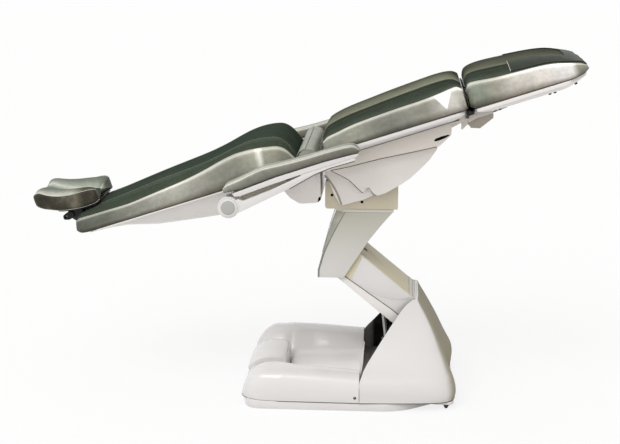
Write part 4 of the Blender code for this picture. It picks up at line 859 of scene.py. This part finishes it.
def make_cushion(name, node, body, rows, around, along, bands, mats, cap, seams=()):
    # Bands are the ring points where the base, side and top panels meet; seams are sewn lines on the top.
    count = len(rows[0])
    fine = grid_refine(rows, along, around, cyclic=True)
    total = count * around
    mesh = ring_mesh(name, fine)
    obj = piece(name, mesh, mats, body)
    marks = [b * around for b in bands]
    for poly in mesh.polygons:
        if len(poly.vertices) > 4:
            poly.material_index = 2
            continue
        ks = [v % total for v in poly.vertices]
        j = total - 1 if max(ks) - min(ks) > 2 else min(ks)
        k = min(j, total - 1 - j)
        poly.material_index = sum(1 for m in marks if k >= m)
    pinned = []
    levels = []
    runs = []
    crossings = []
    first = rows[0][0].x
    length = rows[-1][0].x - first
    for i in range(len(mesh.vertices)):
        j = i % total
        k = min(j, total - j)
        row = i // total
        low = fine[row][marks[0]].z
        share = (fine[row][k].z - low) / (fine[row][marks[1]].z - low)
        levels.append(1.0 if k > marks[1] else min(1.0, max(0.0, share)))
        runs.append((mesh.vertices[i].co.x - first) / length)
        crossings.append(min(1.0, max(0.0, (total - marks[1] - j) / (total - 2 * marks[1]))))
        if k <= marks[0] or k in marks or k in seams or row < 1 or row > len(fine) - 2:
            pinned.append(i)
    for attr, values in (("rise", levels), ("along", runs), ("across", crossings)):
        mesh.attributes.new(attr, "FLOAT", "POINT").data.foreach_set("value", values)
    swell(obj, pinned, cap)
    grown = [[mesh.vertices[i * total + j].co.copy() for j in range(total)] for i in range(len(fine))]
    mesh.transform(CHAIR)
    sub = obj.modifiers.new("fine", "SUBSURF")
    sub.levels = 1
    sub.render_levels = 1
    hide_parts(node)
    return grown, total


def welts(tag, grown, total, body, index, radius, mat, trim=0):
    # A piped seam along one ring point on both sides, less the trimmed rows at its ends.
    for side, j in (("near", total - index), ("far", index)):
        line = [CHAIR @ row[j] for row in grown[trim:len(grown) - trim]]
        tube(tag + "_" + side, line, radius, mat, body)


def stitches(name, line, body):
    # A row of sewn stitches as one mesh.
    verts = []
    faces = []
    run = 0.0
    for a, b in zip(line, line[1:]):
        step = (b - a).length
        if step < 1e-6:
            continue
        way = (b - a) / step
        side = Vector((0.0, 1.0, 0.0)) * STITCH_THICK
        up = way.cross(Vector((0.0, 1.0, 0.0))).normalized() * STITCH_THICK
        while run < step:
            start = a + way * run
            end = a + way * min(step, run + STITCH_LONG)
            n = len(verts)
            for p, k in ((start, 0.6), (start.lerp(end, 0.5), 1.0), (end, 0.6)):
                verts += [p + side * k, p + up * k, p - side * k, p - up * k]
            for r in (0, 4):
                for q in range(4):
                    faces.append((n + r + q, n + r + (q + 1) % 4, n + r + 4 + (q + 1) % 4, n + r + 4 + q))
            faces.append((n, n + 1, n + 2, n + 3))
            faces.append((n + 8, n + 9, n + 10, n + 11))
            run += STITCH_PITCH
        run -= step
    piece(name, finish_mesh(name, [CHAIR @ v for v in verts], faces), THREAD, body)


SEAT = {
    "half": [(-0.104, 0.226), (-0.085, 0.258), (0.1, 0.263), (0.366, 0.263), (0.38, 0.248)],
    "rim_half": [(-0.104, 0.177), (-0.085, 0.194), (0.1, 0.202), (0.34, 0.203), (0.38, 0.19)],
    "seam_half": [(-0.104, 0.0786), (-0.06, 0.0838), (0.34, 0.0838), (0.38, 0.0734)],
    "low": [(-0.104, 0.1755), (-0.09, 0.1698), (0.37, 0.1698), (0.38, 0.1745)],
    "rim": [(-0.104, 0.2), (-0.083, 0.2125), (-0.05, 0.2175), (0.0, 0.226), (0.07, 0.2315), (0.17, 0.2355),
            (0.25, 0.237), (0.308, 0.242), (0.343, 0.2465), (0.3655, 0.246), (0.38, 0.233)],
    "seam": [(-0.104, 0.206), (-0.096, 0.219), (-0.083, 0.232), (-0.05, 0.243), (0.0, 0.2502),
             (0.05, 0.254), (0.1, 0.258), (0.15, 0.2617), (0.25, 0.2665), (0.3, 0.268), (0.34, 0.2655),
             (0.357, 0.26), (0.37, 0.25), (0.38, 0.2365)],
    "swell": 0.003,
}
BACK = {
    "half": [(-0.984, 0.206), (-0.968, 0.226), (-0.93, 0.236), (-0.24, 0.24), (-0.203, 0.222)],
    "rim_half": [(-0.984, 0.174), (-0.968, 0.184), (-0.93, 0.182), (-0.6, 0.176), (-0.24, 0.18),
                 (-0.203, 0.17)],
    "seam_half": [(-0.984, 0.072), (-0.65, 0.089), (-0.55, 0.101), (-0.45, 0.11), (-0.4, 0.122),
                  (-0.32, 0.132), (-0.28, 0.139), (-0.203, 0.13)],
    "low": [(-0.984, 0.16), (-0.972, 0.1535), (-0.955, 0.1493), (-0.215, 0.1493), (-0.203, 0.153)],
    "rim": [(-0.984, 0.19), (-0.975, 0.1955), (-0.9, 0.194), (-0.79, 0.1935), (-0.71, 0.201),
            (-0.6, 0.2115), (-0.526, 0.222), (-0.45, 0.239), (-0.41, 0.2465), (-0.341, 0.2475),
            (-0.302, 0.241), (-0.268, 0.235), (-0.243, 0.227), (-0.23, 0.2128), (-0.215, 0.185),
            (-0.203, 0.166)],
    "seam": [(-0.984, 0.1935), (-0.975, 0.201), (-0.93, 0.2065), (-0.85, 0.2145), (-0.75, 0.2248),
             (-0.65, 0.2325), (-0.55, 0.2382), (-0.5, 0.2428), (-0.45, 0.2505), (-0.4, 0.2606),
             (-0.36, 0.2675), (-0.32, 0.2695), (-0.28, 0.265), (-0.25, 0.256), (-0.228, 0.236),
             (-0.212, 0.205), (-0.203, 0.172)],
    "swell": 0.0015,
}
LEG = {
    "half": [(0.389, 0.228), (0.401, 0.24), (0.71, 0.24), (0.752, 0.209), (0.776, 0.172), (0.787, 0.146)],
    "rim_half": [(0.389, 0.167), (0.405, 0.18), (0.6, 0.182), (0.7, 0.178), (0.752, 0.166), (0.776, 0.144),
                 (0.787, 0.124)],
    "seam_half": [(0.389, 0.07), (0.41, 0.08), (0.44, 0.092), (0.48, 0.104), (0.64, 0.104), (0.7, 0.099),
                  (0.752, 0.085), (0.787, 0.065)],
    "low": [(0.389, 0.1735), (0.4, 0.1665), (0.425, 0.1618), (0.764, 0.1618), (0.787, 0.1685)],
    "rim": [(0.389, 0.218), (0.396, 0.2395), (0.41, 0.2438), (0.442, 0.2405), (0.474, 0.2358), (0.53, 0.233),
            (0.61, 0.2292), (0.67, 0.2244), (0.7, 0.2165), (0.73, 0.2068), (0.754, 0.1985), (0.772, 0.1895),
            (0.787, 0.177)],
    "seam": [(0.389, 0.226), (0.396, 0.253), (0.41, 0.263), (0.44, 0.2668), (0.48, 0.2648), (0.52, 0.261),
             (0.56, 0.2575), (0.6, 0.253), (0.64, 0.2476), (0.68, 0.2392), (0.71, 0.2272), (0.74, 0.2122),
             (0.768, 0.1965), (0.787, 0.1795)],
    "swell": 0.002,
}
# Welts of the long cushions: name, ring point, radius, finish, rows left out at each end
WELTS = (("welt", 18, 0.0014, RIM, 5), ("inner_welt", 26, 0.0011, THREAD, 6),
         ("low_welt", 5, 0.0014, LINE, 0))
STITCH_LINE = 24
STITCH_LIFT = Vector((0.0, 0.0, 0.0003))
GROWN = {}
for tag, node, body, table, mats, steps in (
    ("seat", "seat_cushion", "seat", SEAT, [DARK, SIDE_SEAT, SEAT_TOP],
     (-0.104, -0.098, -0.083, -0.05, 0.0, 0.06, 0.12, 0.18, 0.24, 0.305, 0.345, 0.362, 0.374, 0.38)),
    ("back", "back_cushion", "back", BACK, [DARK, SIDE_BACK, BACK_TOP],
     (-0.984, -0.98, -0.965, -0.93, -0.86, -0.79, -0.72, -0.66, -0.6, -0.55, -0.5, -0.45, -0.4, -0.36,
      -0.32, -0.28, -0.25, -0.23, -0.215, -0.207, -0.203)),
    ("leg", "leg_cushion", "leg", LEG, [DARK, SIDE_LEG, LEG_TOP],
     (0.389, 0.393, 0.402, 0.42, 0.45, 0.49, 0.53, 0.57, 0.61, 0.65, 0.685, 0.715, 0.745, 0.766, 0.78,
      0.787)),
):
    rows = cushion_rows(table, steps)
    grown, total = make_cushion(
        tag + "_pad", node, body, rows, around=3, along=3, bands=(2, 6), mats=mats, cap=SWELL_CAP,
        seams=(26,))
    GROWN[tag] = (grown, total)
    for word, index, radius, finish, trim in WELTS:
        welts("%s_%s" % (tag, word), grown, total, body, index, radius, finish, trim)
    for side, j in (("near", total - STITCH_LINE), ("far", STITCH_LINE)):
        stitches(tag + "_stitch_" + side, [row[j] + STITCH_LIFT for row in grown[4:-4]], body)


def head_rows():
    # Two lobes beside a hollow, with a notch at the neck and a round top end in plan.
    floor = [(-1.116, 0.268), (-1.107, 0.2615), (-1.088, 0.2495), (-1.056, 0.237), (-1.034, 0.2285),
             (-1.006, 0.2234), (-0.971, 0.218), (-0.942, 0.2166), (-0.9156, 0.2175), (-0.904, 0.2215)]
    edge = [(-1.116, 0.301), (-1.107, 0.3085), (-1.09, 0.309), (-1.054, 0.289), (-1.028, 0.2795),
            (-1.004, 0.275), (-0.9685, 0.2714), (-0.943, 0.2712), (-0.918, 0.269), (-0.904, 0.261)]
    crest = [(-1.116, 0.305), (-1.107, 0.315), (-1.09, 0.318), (-1.0625, 0.3085), (-1.03, 0.2962),
             (-0.996, 0.287), (-0.961, 0.281), (-0.933, 0.2755), (-0.917, 0.2705), (-0.904, 0.262)]
    wide = [(-1.116, 0.12), (-1.107, 0.131), (-1.06, 0.138), (-0.965, 0.136), (-0.931, 0.13),
            (-0.912, 0.121), (-0.904, 0.108)]
    rows = []
    for u in (-1.116, -1.112, -1.105, -1.09, -1.065, -1.035, -1.005, -0.975, -0.948, -0.928, -0.914, -0.907,
              -0.904):
        wb, we, wt, h = read(u, floor, edge, crest, wide)
        hollow = 0.026 * min(1.0, max(0.3, (u + 1.13) / 0.15))
        notch = 0.03 * max(0.0, (u + 1.0) / 0.096)
        bulge = 0.012 * max(0.0, (-1.06 - u) / 0.056)
        half = [(0.0, wb), (0.9 * h, wb + 0.001), (h, wb + 0.005), (h + 0.002, 0.5 * (wb + we)),
                (h + 0.001, we - 0.004), (0.965 * h, we), (0.8 * h, 0.4 * we + 0.6 * wt), (0.62 * h, wt),
                (0.42 * h, wt - 0.45 * hollow), (0.2 * h, wt - 0.9 * hollow), (0.0, wt - hollow)]
        ring = []
        for y, w in mirrored(half):
            share = 1.0 - min(1.0, abs(y) / 0.085) ** 2
            ring.append(Vector((u - notch * share + bulge * share, y, w)))
        rows.append(ring)
    return rows


grown, total = make_cushion(
    "head_pad", "headrest_pad", "head", head_rows(), around=3, along=3, bands=(1, 5),
    mats=[HEAD_SIDE, HEAD_SIDE, HEAD_TOP], cap=SWELL_CAP)
welts("head_welt", grown, total, "head", index=15, radius=0.0012, mat=RIM)
welts("head_low_welt", grown, total, "head", index=5, radius=0.0012, mat=RIM)
end_row = [CHAIR @ grown[-3][j % total] for j in range(total - 6, total + 7)]
tube("head_end_welt", end_row, radius=0.0014, mat=RIM, body="head")

# Armrest pads
ARM_PAD_HALF = 0.0295
ARM_PAD_Y = 0.33


def arm_rows(y):
    # Pillow sections along the armrest.
    top = [(-0.44, 0.167), (-0.437, 0.174), (-0.425, 0.183), (-0.375, 0.19), (-0.338, 0.1965),
           (-0.3, 0.2015), (-0.268, 0.2), (-0.23, 0.1965), (-0.172, 0.193), (-0.105, 0.192),
           (-0.036, 0.191), (-0.002, 0.186), (0.008, 0.179), (0.017, 0.164)]
    low = [(-0.44, 0.1605), (-0.41, 0.158), (-0.368, 0.155), (-0.261, 0.1612), (-0.097, 0.1622),
           (-0.01, 0.1586), (0.012, 0.157), (0.017, 0.16)]
    rows = []
    for u in (-0.44, -0.437, -0.425, -0.4, -0.37, -0.335, -0.3, -0.265, -0.23, -0.18, -0.12, -0.06,
              -0.02, 0.0, 0.01, 0.017):
        t, b = read(u, top, low)
        end = min(1.0, (u - top[0][0]) / 0.02 + 0.75, (top[-1][0] - u) / 0.02 + 0.8)
        h = ARM_PAD_HALF * end
        d = t - b
        half = [(0.0, b), (0.6 * h, b), (0.93 * h, b + 0.06 * d), (h, b + 0.25 * d), (h, b + 0.62 * d),
                (0.965 * h, b + 0.88 * d), (0.86 * h, b + 0.972 * d), (0.45 * h, t), (0.0, t + 0.0006)]
        rows.append([Vector((u, y + p, w)) for p, w in mirrored(half)])
    return rows


for tag, sign in SIDES:
    body = "armrest_" + tag
    grown, total = make_cushion(
        "arm_pad_" + tag, "armrest_pad_" + tag, body, arm_rows(sign * ARM_PAD_Y), around=2, along=3,
        bands=(1, 6), mats=[ARM_SIDE, ARM_SIDE, ARM_TOP], cap=0.0012)
    welts("arm_welt_" + tag, grown, total, body, index=12, radius=0.001, mat=RIM)

# Foot protector: a U-shaped sheet lying on the swelled leg cushion
PROTECTOR_START = 0.535
PROTECTOR_TURN = 0.722
PROTECTOR_END = 0.772
PROTECTOR_TOP = 0.0034
PROTECTOR_FOOT = 0.0012
# Ring points of the outer and inner edge of its legs, on the far side
OUTER = 21
INNER = 27
grown, total = GROWN["leg"]
spine = [row[total // 2].x for row in grown]
first = min(i for i, x in enumerate(spine) if x > PROTECTOR_START)
turn = min(i for i, x in enumerate(spine) if x > PROTECTOR_TURN)
last = max(i for i, x in enumerate(spine) if x < PROTECTOR_END)


def lifted(i, j, height):
    # A point above the swelled cushion, square to it.
    along = grown[i + 1][j] - grown[i - 1][j]
    across = grown[i][j + 1] - grown[i][j - 1]
    square = along.cross(across).normalized()
    if square.z < 0.0:
        square = -square
    return CHAIR @ (grown[i][j] + square * height)


sheet_parts = []
for start, end, left, right in ((first, turn, OUTER, INNER), (first, turn, total - INNER, total - OUTER),
                                (turn, last, OUTER, total - OUTER)):
    sheets = [[[lifted(i, j, height) for j in range(left, right + 1)] for i in range(start, end + 1)]
              for height in (PROTECTOR_TOP, PROTECTOR_FOOT)]
    sheet_parts.append(shell_mesh("sheet_part", *sheets))
bm = bmesh.new()
for part in sheet_parts:
    bm.from_mesh(part)
bmesh.ops.remove_doubles(bm, verts=bm.verts, dist=0.00005)
sheet_mesh = bpy.data.meshes.new("foot_sheet")
bm.to_mesh(sheet_mesh)
bm.free()
sheet = piece("foot_sheet", sheet_mesh, SHEET, "leg")
split(sheet, 50.0)
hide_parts("foot_protector")
for tag, left, right in (("near", total - INNER, total - OUTER), ("far", OUTER, INNER)):
    hem = [lifted(first, j, 0.003) for j in range(left, right + 1)]
    tube("foot_sheet_edge_" + tag, hem, radius=0.0013, mat=RIM, body="leg")

# Small fittings, fillers and joint lines

# Beads of painted shade and shadow on both sides: name, body, finish, radius, distance from the middle, line
# of (u, w)
CHAIR_LINES = [
    # Painted shade in the groove by the tilt plate's edge.
    ("plate_groove", "seat", GROOVE, 0.0036, 0.1448,
     [(-0.1363, 0.0833), (-0.1276, 0.0646), (-0.1211, 0.0413), (-0.1167, 0.0221), (-0.1145, 0.0017),
      (-0.1139, -0.0163), (-0.113, -0.0275)]),
    # Painted shadow along the fan's lower edge.
    ("fan_shadow_line", "seat", LINE, 0.0016, 0.1466, [(-0.118, 0.0994), (-0.0716, 0.054), (-0.065, 0.047),
                                                (-0.0606, 0.0393), (-0.034, -0.0105)]),
    # Painted shadow along the seat frame's lower edge.
    ("frame_shadow_line", "seat", LINE, 0.0014, 0.1998,
     [(-0.105, 0.1028), (-0.042, 0.0965), (0.06, 0.092), (0.159, 0.0825), (0.248, 0.0752)]),
    ("tray_foot", "seat", SHADOW, 0.0016, 0.239,
     [(-0.068, 0.1453), (0.1, 0.1453), (0.2, 0.1453), (0.345, 0.1453)]),
    ("arm_foot", "armrest", SHADOW, 0.002, 0.353,
     [(-0.233, 0.112), (-0.19, 0.1216), (-0.143, 0.132), (-0.088, 0.1374), (-0.06, 0.137),
      (-0.008, 0.1362)]),
]
# Flat pieces on both sides of the chair: name, body, finish, slot, inner and outer face, outline of (u, w)
CHAIR_PLATES = [
    # Painted shade in the notch of the fan.
    ("fan_notch_shade", "seat", LINE, "white_shell", 0.1463, 0.1497,
     [(-0.017, 0.001), (-0.012, 0.0085), (-0.002, 0.009), (0.006, -0.004), (0.01, -0.031),
      (0.0023, -0.0291), (-0.0029, -0.0236), (-0.0052, -0.014), (-0.0063, -0.0066), (-0.0096, -0.0006)]),
    # Painted shade in the slit at the seat frame's end.
    ("frame_slit_shade", "seat", HOLE, "black_plastic", 0.198, 0.2006,
     [(0.2451, 0.098), (0.2531, 0.1026), (0.2701, 0.1034), (0.2936, 0.103), (0.2991, 0.099),
      (0.2811, 0.095), (0.2604, 0.0931), (0.2472, 0.0941)]),
    # Painted shade in the slot between the armrest rail and arm, black at its tip.
    ("arm_slot", "armrest", GROOVE, "white_shell", 0.322, 0.338,
     [(-0.392, 0.1205), (-0.29, 0.128), (-0.19, 0.143), (-0.19, 0.144), (-0.29, 0.1412),
      (-0.39, 0.1358)]),
    ("arm_slot_tip", "armrest", HOLE, "black_plastic", 0.3225, 0.3386,
     [(-0.236, 0.1362), (-0.19, 0.1429), (-0.19, 0.1441), (-0.236, 0.1424)]),
    ("leg_plate", "leg", FRAME, "white_shell", 0.1503, 0.153,
     [(0.364, 0.13), (0.369, 0.14), (0.398, 0.141), (0.4535, 0.125), (0.4535, 0.118),
      (0.398, 0.1195), (0.369, 0.112)]),
    ("leg_ear", "seat", FRAME, "white_shell", 0.1535, 0.1562,
     [(0.339, 0.134), (0.356, 0.1405), (0.366, 0.1405), (0.366, 0.11), (0.344, 0.0985),
      (0.3385, 0.0995), (0.3445, 0.116)]),
    # The bracket's lower body in the darkened bracket colour: painted shade.
    ("leg_gusset", "leg", BRACKET, "white_shell", 0.149, 0.1512,
     [(0.366, 0.1095), (0.398, 0.119), (0.4535, 0.1175), (0.4494, 0.1038), (0.398, 0.0836),
      (0.37, 0.094)]),
]

# Lines and outlines on the lift arm, as (s, n)
ARM_SKIN = [(0.0655, 0.0765), (0.0895, -0.0145), (0.262, -0.0012), (0.31, -0.0012), (0.2945, 0.0765)]
ARM_STRIP = [(0.016, -0.0372), (0.329, -0.0372), (0.312, -0.004), (0.262, -0.004), (0.058, -0.02),
             (0.014, -0.024)]
ARM_LINE = [(0.012, -0.0222), (0.058, -0.018), (0.262, -0.0026), (0.308, -0.0026)]
ARM_SIDE_Y = 0.1097
ARM_RIB_S = 0.274
ARM_RIB_PITCH = 0.0072

# Edges of the elbow cover, as height, length and half width from the elbow's pivot
ELBOW_EDGE = [(-0.0571, -0.0478, 0.125), (-0.0306, -0.047, 0.125), (0.0294, -0.0299, 0.125),
              (0.0774, -0.0092, 0.125), (0.1294, 0.0162, 0.125), (0.1715, 0.0397, 0.125)]
ELBOW_CORNER = [(-0.0571, -0.0518, 0.121), (-0.0306, -0.0513, 0.1207), (0.0294, -0.0349, 0.12),
                (0.0774, -0.0226, 0.1116), (0.1294, -0.0063, 0.1025), (0.1715, 0.0097, 0.095)]

# Turned profiles, as (radius, height)
HUB_CAP = [(0.0235, -0.002), (0.0235, 0.0006), (0.0215, 0.0016), (0.012, 0.002), (0.004, 0.002)]
SCREW = [(0.005, -0.002), (0.005, 0.0006), (0.004, 0.0012), (0.0022, 0.0004), (0.001, 0.0004)]
BOLT = [(0.0065, -0.002), (0.0065, 0.001), (0.005, 0.0018), (0.0028, 0.001), (0.001, 0.001)]
STUD = [(0.005, -0.003), (0.005, 0.0045), (0.0042, 0.006), (0.0015, 0.006)]
BLOCK_SCREWS = [(-0.057, 0.7026), (0.0437, 0.6801)]
STUDS = [(0.4605, 0.196), (0.4776, 0.196), (0.6421, 0.196), (0.6586, 0.196), (0.7331, 0.15)]
STUD_W = 0.136


def chair_plate(name, points, low, high, mat, body):
    # A piece with one outline in u and w, between two values of y.
    plate(name, [[at(u, y, w) for u, w in points] for y in (low, high)], mat, body)


def arm_plate(name, points, low, high, mat):
    # A flat piece on the side of the lift arm.
    plate(name, [[on_arm(s, n, y) for s, n in points] for y in (low, high)], mat, "lift_arm")


def round_fittings(tag, sign):
    # Caps, screws, bolts and studs of one side.
    out = Vector((0.0, sign, 0.0))
    down = CHAIR.to_3x3() @ Vector((0.0, 0.0, -1.0))
    turned("hub_cap_" + tag, at(-0.44, sign * 0.36, 0.112), out, HUB_CAP, GREY, "armrest_" + tag,
           32)
    for k, (x, z) in enumerate(BLOCK_SCREWS):
        turned("block_screw_%d_%s" % (k, tag), Vector((x, sign * 0.13, z)), out, SCREW, HOLE, "swivel")
    turned("base_screw_" + tag, Vector((0.0305, sign * 0.2995, 0.0468)), out, SCREW, HOLE, "base")
    turned("leg_bolt_" + tag, at(KNEE[0], sign * 0.174, KNEE[1]), out, BOLT, LINE, "leg")
    for k, (u, half) in enumerate(STUDS):
        turned("tray_stud_%d_%s" % (k, tag), at(u, sign * half, STUD_W), down, STUD, BLACK, "leg")


def carrier(body, tag):
    # Armrests are a body of their own on each side.
    return body + "_" + tag if body == "armrest" else body


def side_trim(tag, sign):
    # Joint lines and flat pieces of one side.
    for name, body, finish, radius, y, line in CHAIR_LINES:
        bead = [at(u, sign * y, w) for u, w in line]
        tube(name + "_" + tag, bead, radius, finish, carrier(body, tag))
    for name, body, finish, slot, low, high, points in CHAIR_PLATES:
        chair_plate(name + "_" + tag, points, sign * low, sign * high, finish, carrier(body, tag))
    arm_plate("arm_skin_" + tag, ARM_SKIN, sign * ARM_SIDE_Y, sign * 0.111, WHITE)
    arm_plate("arm_strip_" + tag, ARM_STRIP, sign * ARM_SIDE_Y, sign * 0.1112, TRAY)
    seam = [on_arm(s, n, sign * 0.11) for s, n in ARM_LINE]
    tube("arm_line_" + tag, seam, radius=0.0011, mat=SHADOW, body="lift_arm")
    for name, edge in (("elbow_edge_", ELBOW_EDGE), ("elbow_corner_", ELBOW_CORNER)):
        line = [Vector((ELBOW[0] + x, sign * y, ELBOW[1] + z)) for z, x, y in edge]
        tube(name + tag, line, radius=0.0009, mat=MOSS, body="elbow")
    gap = [Vector((x, sign * 0.1246, 0.6552)) for x in (-0.016, 0.05, 0.147)]
    tube("swivel_gap_" + tag, gap, radius=0.0014, mat=SHADOW, body="elbow")


for tag, sign in SIDES:
    round_fittings(tag, sign)
    side_trim(tag, sign)

# Pieces right across the chair


def arc(centre, radius, start, end, steps=16):
    # Points of a circle from one angle to another.
    turns = [math.radians(start + (end - start) * k / steps) for k in range(steps + 1)]
    return [(centre[0] + radius * math.cos(t), centre[1] + radius * math.sin(t)) for t in turns]


def sheet_ring(line, du, dw):
    # A thin outline: a line and its shifted return.
    return line + [(u + du, w + dw) for u, w in reversed(line)]


# Sleeves about the back hinge lie one inside the other, so that the back can turn.
SEAT_SLEEVE = arc(HINGE, 0.034, -25.0, 112.0) + arc(HINGE, 0.0318, 112.0, -25.0)
BACK_SLEEVE = arc(HINGE, 0.0368, 84.0, 172.0) + arc(HINGE, 0.0348, 172.0, 84.0)
SLEEVE_END = arc(HINGE, 0.0316, 0.0, 337.5)
BOARD = [(-1.05, 0.2335), (-1.034, 0.2284), (-1.006, 0.2232), (-0.971, 0.2178), (-0.942, 0.2164),
         (-0.918, 0.217)]
FOLDS = [(0.3808 + 0.0034 * (k % 2), 0.176 + 0.0088 * k) for k in range(5)]
# Name, body, finish, slot, half width, outline of (u, w)
CROSS_PLATES = [
    ("hip_roll_seat", "seat", ROLL, "upholstery", 0.226, SEAT_SLEEVE),
    ("hip_roll_back", "back", ROLL, "upholstery", 0.226, BACK_SLEEVE),
    ("head_board", "head", BLACK, "black_plastic", 0.116, sheet_ring(BOARD, 0.0, -0.0055)),
    ("head_carriage", "head_bar", BLACK, "black_plastic", 0.062,
     [(-1.03, 0.189), (-0.9875, 0.189), (-0.9865, 0.202), (-0.972, 0.211), (-1.002, 0.2165),
      (-1.03, 0.216)]),
    # A small black piece on the end of the hinge cover.
    ("hinge_bumper", "back", HOLE, "black_plastic", 0.1608,
     [(-0.186, 0.005), (-0.178, 0.02), (-0.17, 0.0225), (-0.173, 0.011)]),
    ("knee_gusset", "seat", SHADOW, "upholstery", 0.222, sheet_ring(FOLDS, 0.0045, 0.0)),
    ("knee_shroud", "seat", BLACK, "black_plastic", 0.235,
     arc(KNEE, 0.0282, 26.0, 86.0, 10) + [(0.3698, 0.1475), (0.394, 0.1475)]),
]
for name, body, finish, slot, half, points in CROSS_PLATES:
    chair_plate(name, points, -half, half, finish, body)
for tag, sign in SIDES:
    chair_plate("hip_roll_end_" + tag, SLEEVE_END, sign * 0.2215, sign * 0.2255, ROLL, "seat")

# Rising end of the foot pocket
RISER = [(0.024, 0.0), (0.034, 0.1), (0.0415, 0.36), (0.0455, 0.72), (0.047, 1.0)]
RISER_HALF = 0.154
RISER_LOW = 0.0585


def riser_sheet(depth):
    # The wall's face or, set back by a depth, its back.
    rows = []
    for y in (-RISER_HALF, -0.13, -0.09, -0.045, 0.0, 0.045, 0.09, 0.13, RISER_HALF):
        tall = 0.02 + 0.016 * (abs(y) / RISER_HALF) ** 2
        rows.append([Vector((x + depth, y, RISER_LOW + tall * z - depth * (1.0 - z))) for x, z in RISER])
    return grid_refine(rows, along=3, across=4)


wall_mesh = shell_mesh("pocket_wall", riser_sheet(0.0), riser_sheet(0.0025))
pocket_wall = piece("pocket_wall", wall_mesh, POCKET, "base")
split(pocket_wall, 50.0)

# Ribs where the arm enters the tower, and the tower's lip
for k in range(4):
    rib = [on_arm(ARM_RIB_S + ARM_RIB_PITCH * k, 0.0768, y) for y in (-0.1085, -0.05, 0.05, 0.1085)]
    finish = WHITE if k % 2 else GREY
    tube("arm_rib_%d" % k, rib, radius=0.0028, mat=finish, body="lift_arm")
lip = [Vector((0.2306, y, 0.3375)) for y in (-0.119, -0.06, 0.06, 0.119)]
tube("tower_lip", lip, radius=0.0046, mat=WHITE, body="base")

# Floor, light and camera

mesh = bpy.data.meshes.new("floor")
bm = bmesh.new()
bmesh.ops.create_grid(bm, x_segments=1, y_segments=1, size=40.0)
bm.to_mesh(mesh)
bm.free()
floor = bpy.data.objects.new("floor", mesh)
floor.location = (0.0, 0.0, -0.0005)
scene.collection.objects.link(floor)


def seen_directly(tree):
    # One for camera, glossy and transmission rays.
    path = tree.nodes.new("ShaderNodeLightPath").outputs
    return calc(tree, "MAXIMUM", calc(tree, "MAXIMUM", path["Is Camera Ray"], path["Is Glossy Ray"]),
                path["Is Transmission Ray"])


def mix_shaders(tree, factor, a, b, output):
    # Two shaders mixed into the output of the tree.
    mix = tree.nodes.new("ShaderNodeMixShader")
    for socket, source in zip(mix.inputs, (factor, a, b)):
        tree.links.new(source, socket)
    tree.links.new(mix.outputs["Shader"], tree.nodes[output].inputs["Surface"])


mat, tree, shader = new_mat("floor")
seen = seen_directly(tree)
tone = blend(tree, "MIX", seen, grey(0.68), grey(0.9))
paint(tree, shader, tone)
settle(shader, rough=0.9, level=0.0)
glow = tree.nodes.new("ShaderNodeEmission")
glow.inputs["Strength"].default_value = 1.0
share = calc(tree, "MULTIPLY", seen, 0.8)
mix_shaders(tree, share, shader.outputs["BSDF"], glow.outputs["Emission"], "Material Output")
mesh.materials.append(mat)

# World: a soft tent, brightest above and in front, dimmer and warmer towards the foot end
world = bpy.data.worlds.new("studio")
scene.world = world
world.use_nodes = True
tree = world.node_tree
axes = split_axes(tree, "Generated")
overhead = calc(tree, "MULTIPLY", calc(tree, "MAXIMUM", axes["Z"], 0.0), 0.52)
front = calc(tree, "MULTIPLY", calc(tree, "MAXIMUM", calc(tree, "MULTIPLY", axes["Y"], -1.0), 0.0), 0.6)
foot_end = calc(tree, "MAXIMUM", axes["X"], 0.0)
level = calc(tree, "ADD", calc(tree, "ADD", overhead, front), calc(tree, "MULTIPLY", foot_end, -0.42))
level = calc(tree, "MAXIMUM", calc(tree, "ADD", level, 0.42), 0.1)
tree.links.new(level, tree.nodes["Background"].inputs["Strength"])
warm = blend(tree, "MIX", foot_end, grey(1.0), (1.0, 0.95, 0.84))
tree.links.new(warm, tree.nodes["Background"].inputs["Color"])
white = tree.nodes.new("ShaderNodeBackground")
white.inputs["Color"].default_value = (1.0, 1.0, 1.0, 1.0)
white.inputs["Strength"].default_value = 1.0
tent = tree.nodes["Background"].outputs["Background"]
mix_shaders(tree, seen_directly(tree), tent, white.outputs["Background"], "World Output")


def aimed(name, data, place, target):
    # A light or camera at a place, turned to a target.
    obj = bpy.data.objects.new(name, data)
    obj.location = place
    obj.rotation_euler = (Vector(target) - Vector(place)).to_track_quat("-Z", "Y").to_euler()
    scene.collection.objects.link(obj)
    return obj


sun = bpy.data.lights.new("key", "SUN")
sun.energy = 0.95
sun.angle = math.radians(35.0)
aimed("key", sun, (-1.2, -2.0, 3.0), (0.0, 0.0, 0.0))
lamp = bpy.data.lights.new("spark", "AREA")
lamp.shape = "RECTANGLE"
lamp.size = 0.6
lamp.size_y = 0.6
lamp.energy = 8.0
aimed("spark", lamp, (-1.4, -3.2, 2.9), (0.0, 0.0, 0.5))
lens = bpy.data.cameras.new("camera")
lens.lens = 77.4
lens.sensor_width = 36.0
lens.sensor_fit = "HORIZONTAL"
scene.camera = aimed("camera", lens, (0.1739, -4.489, 1.6574), (-0.14, 0.0, 0.577))
scene.view_settings.view_transform = "Standard"
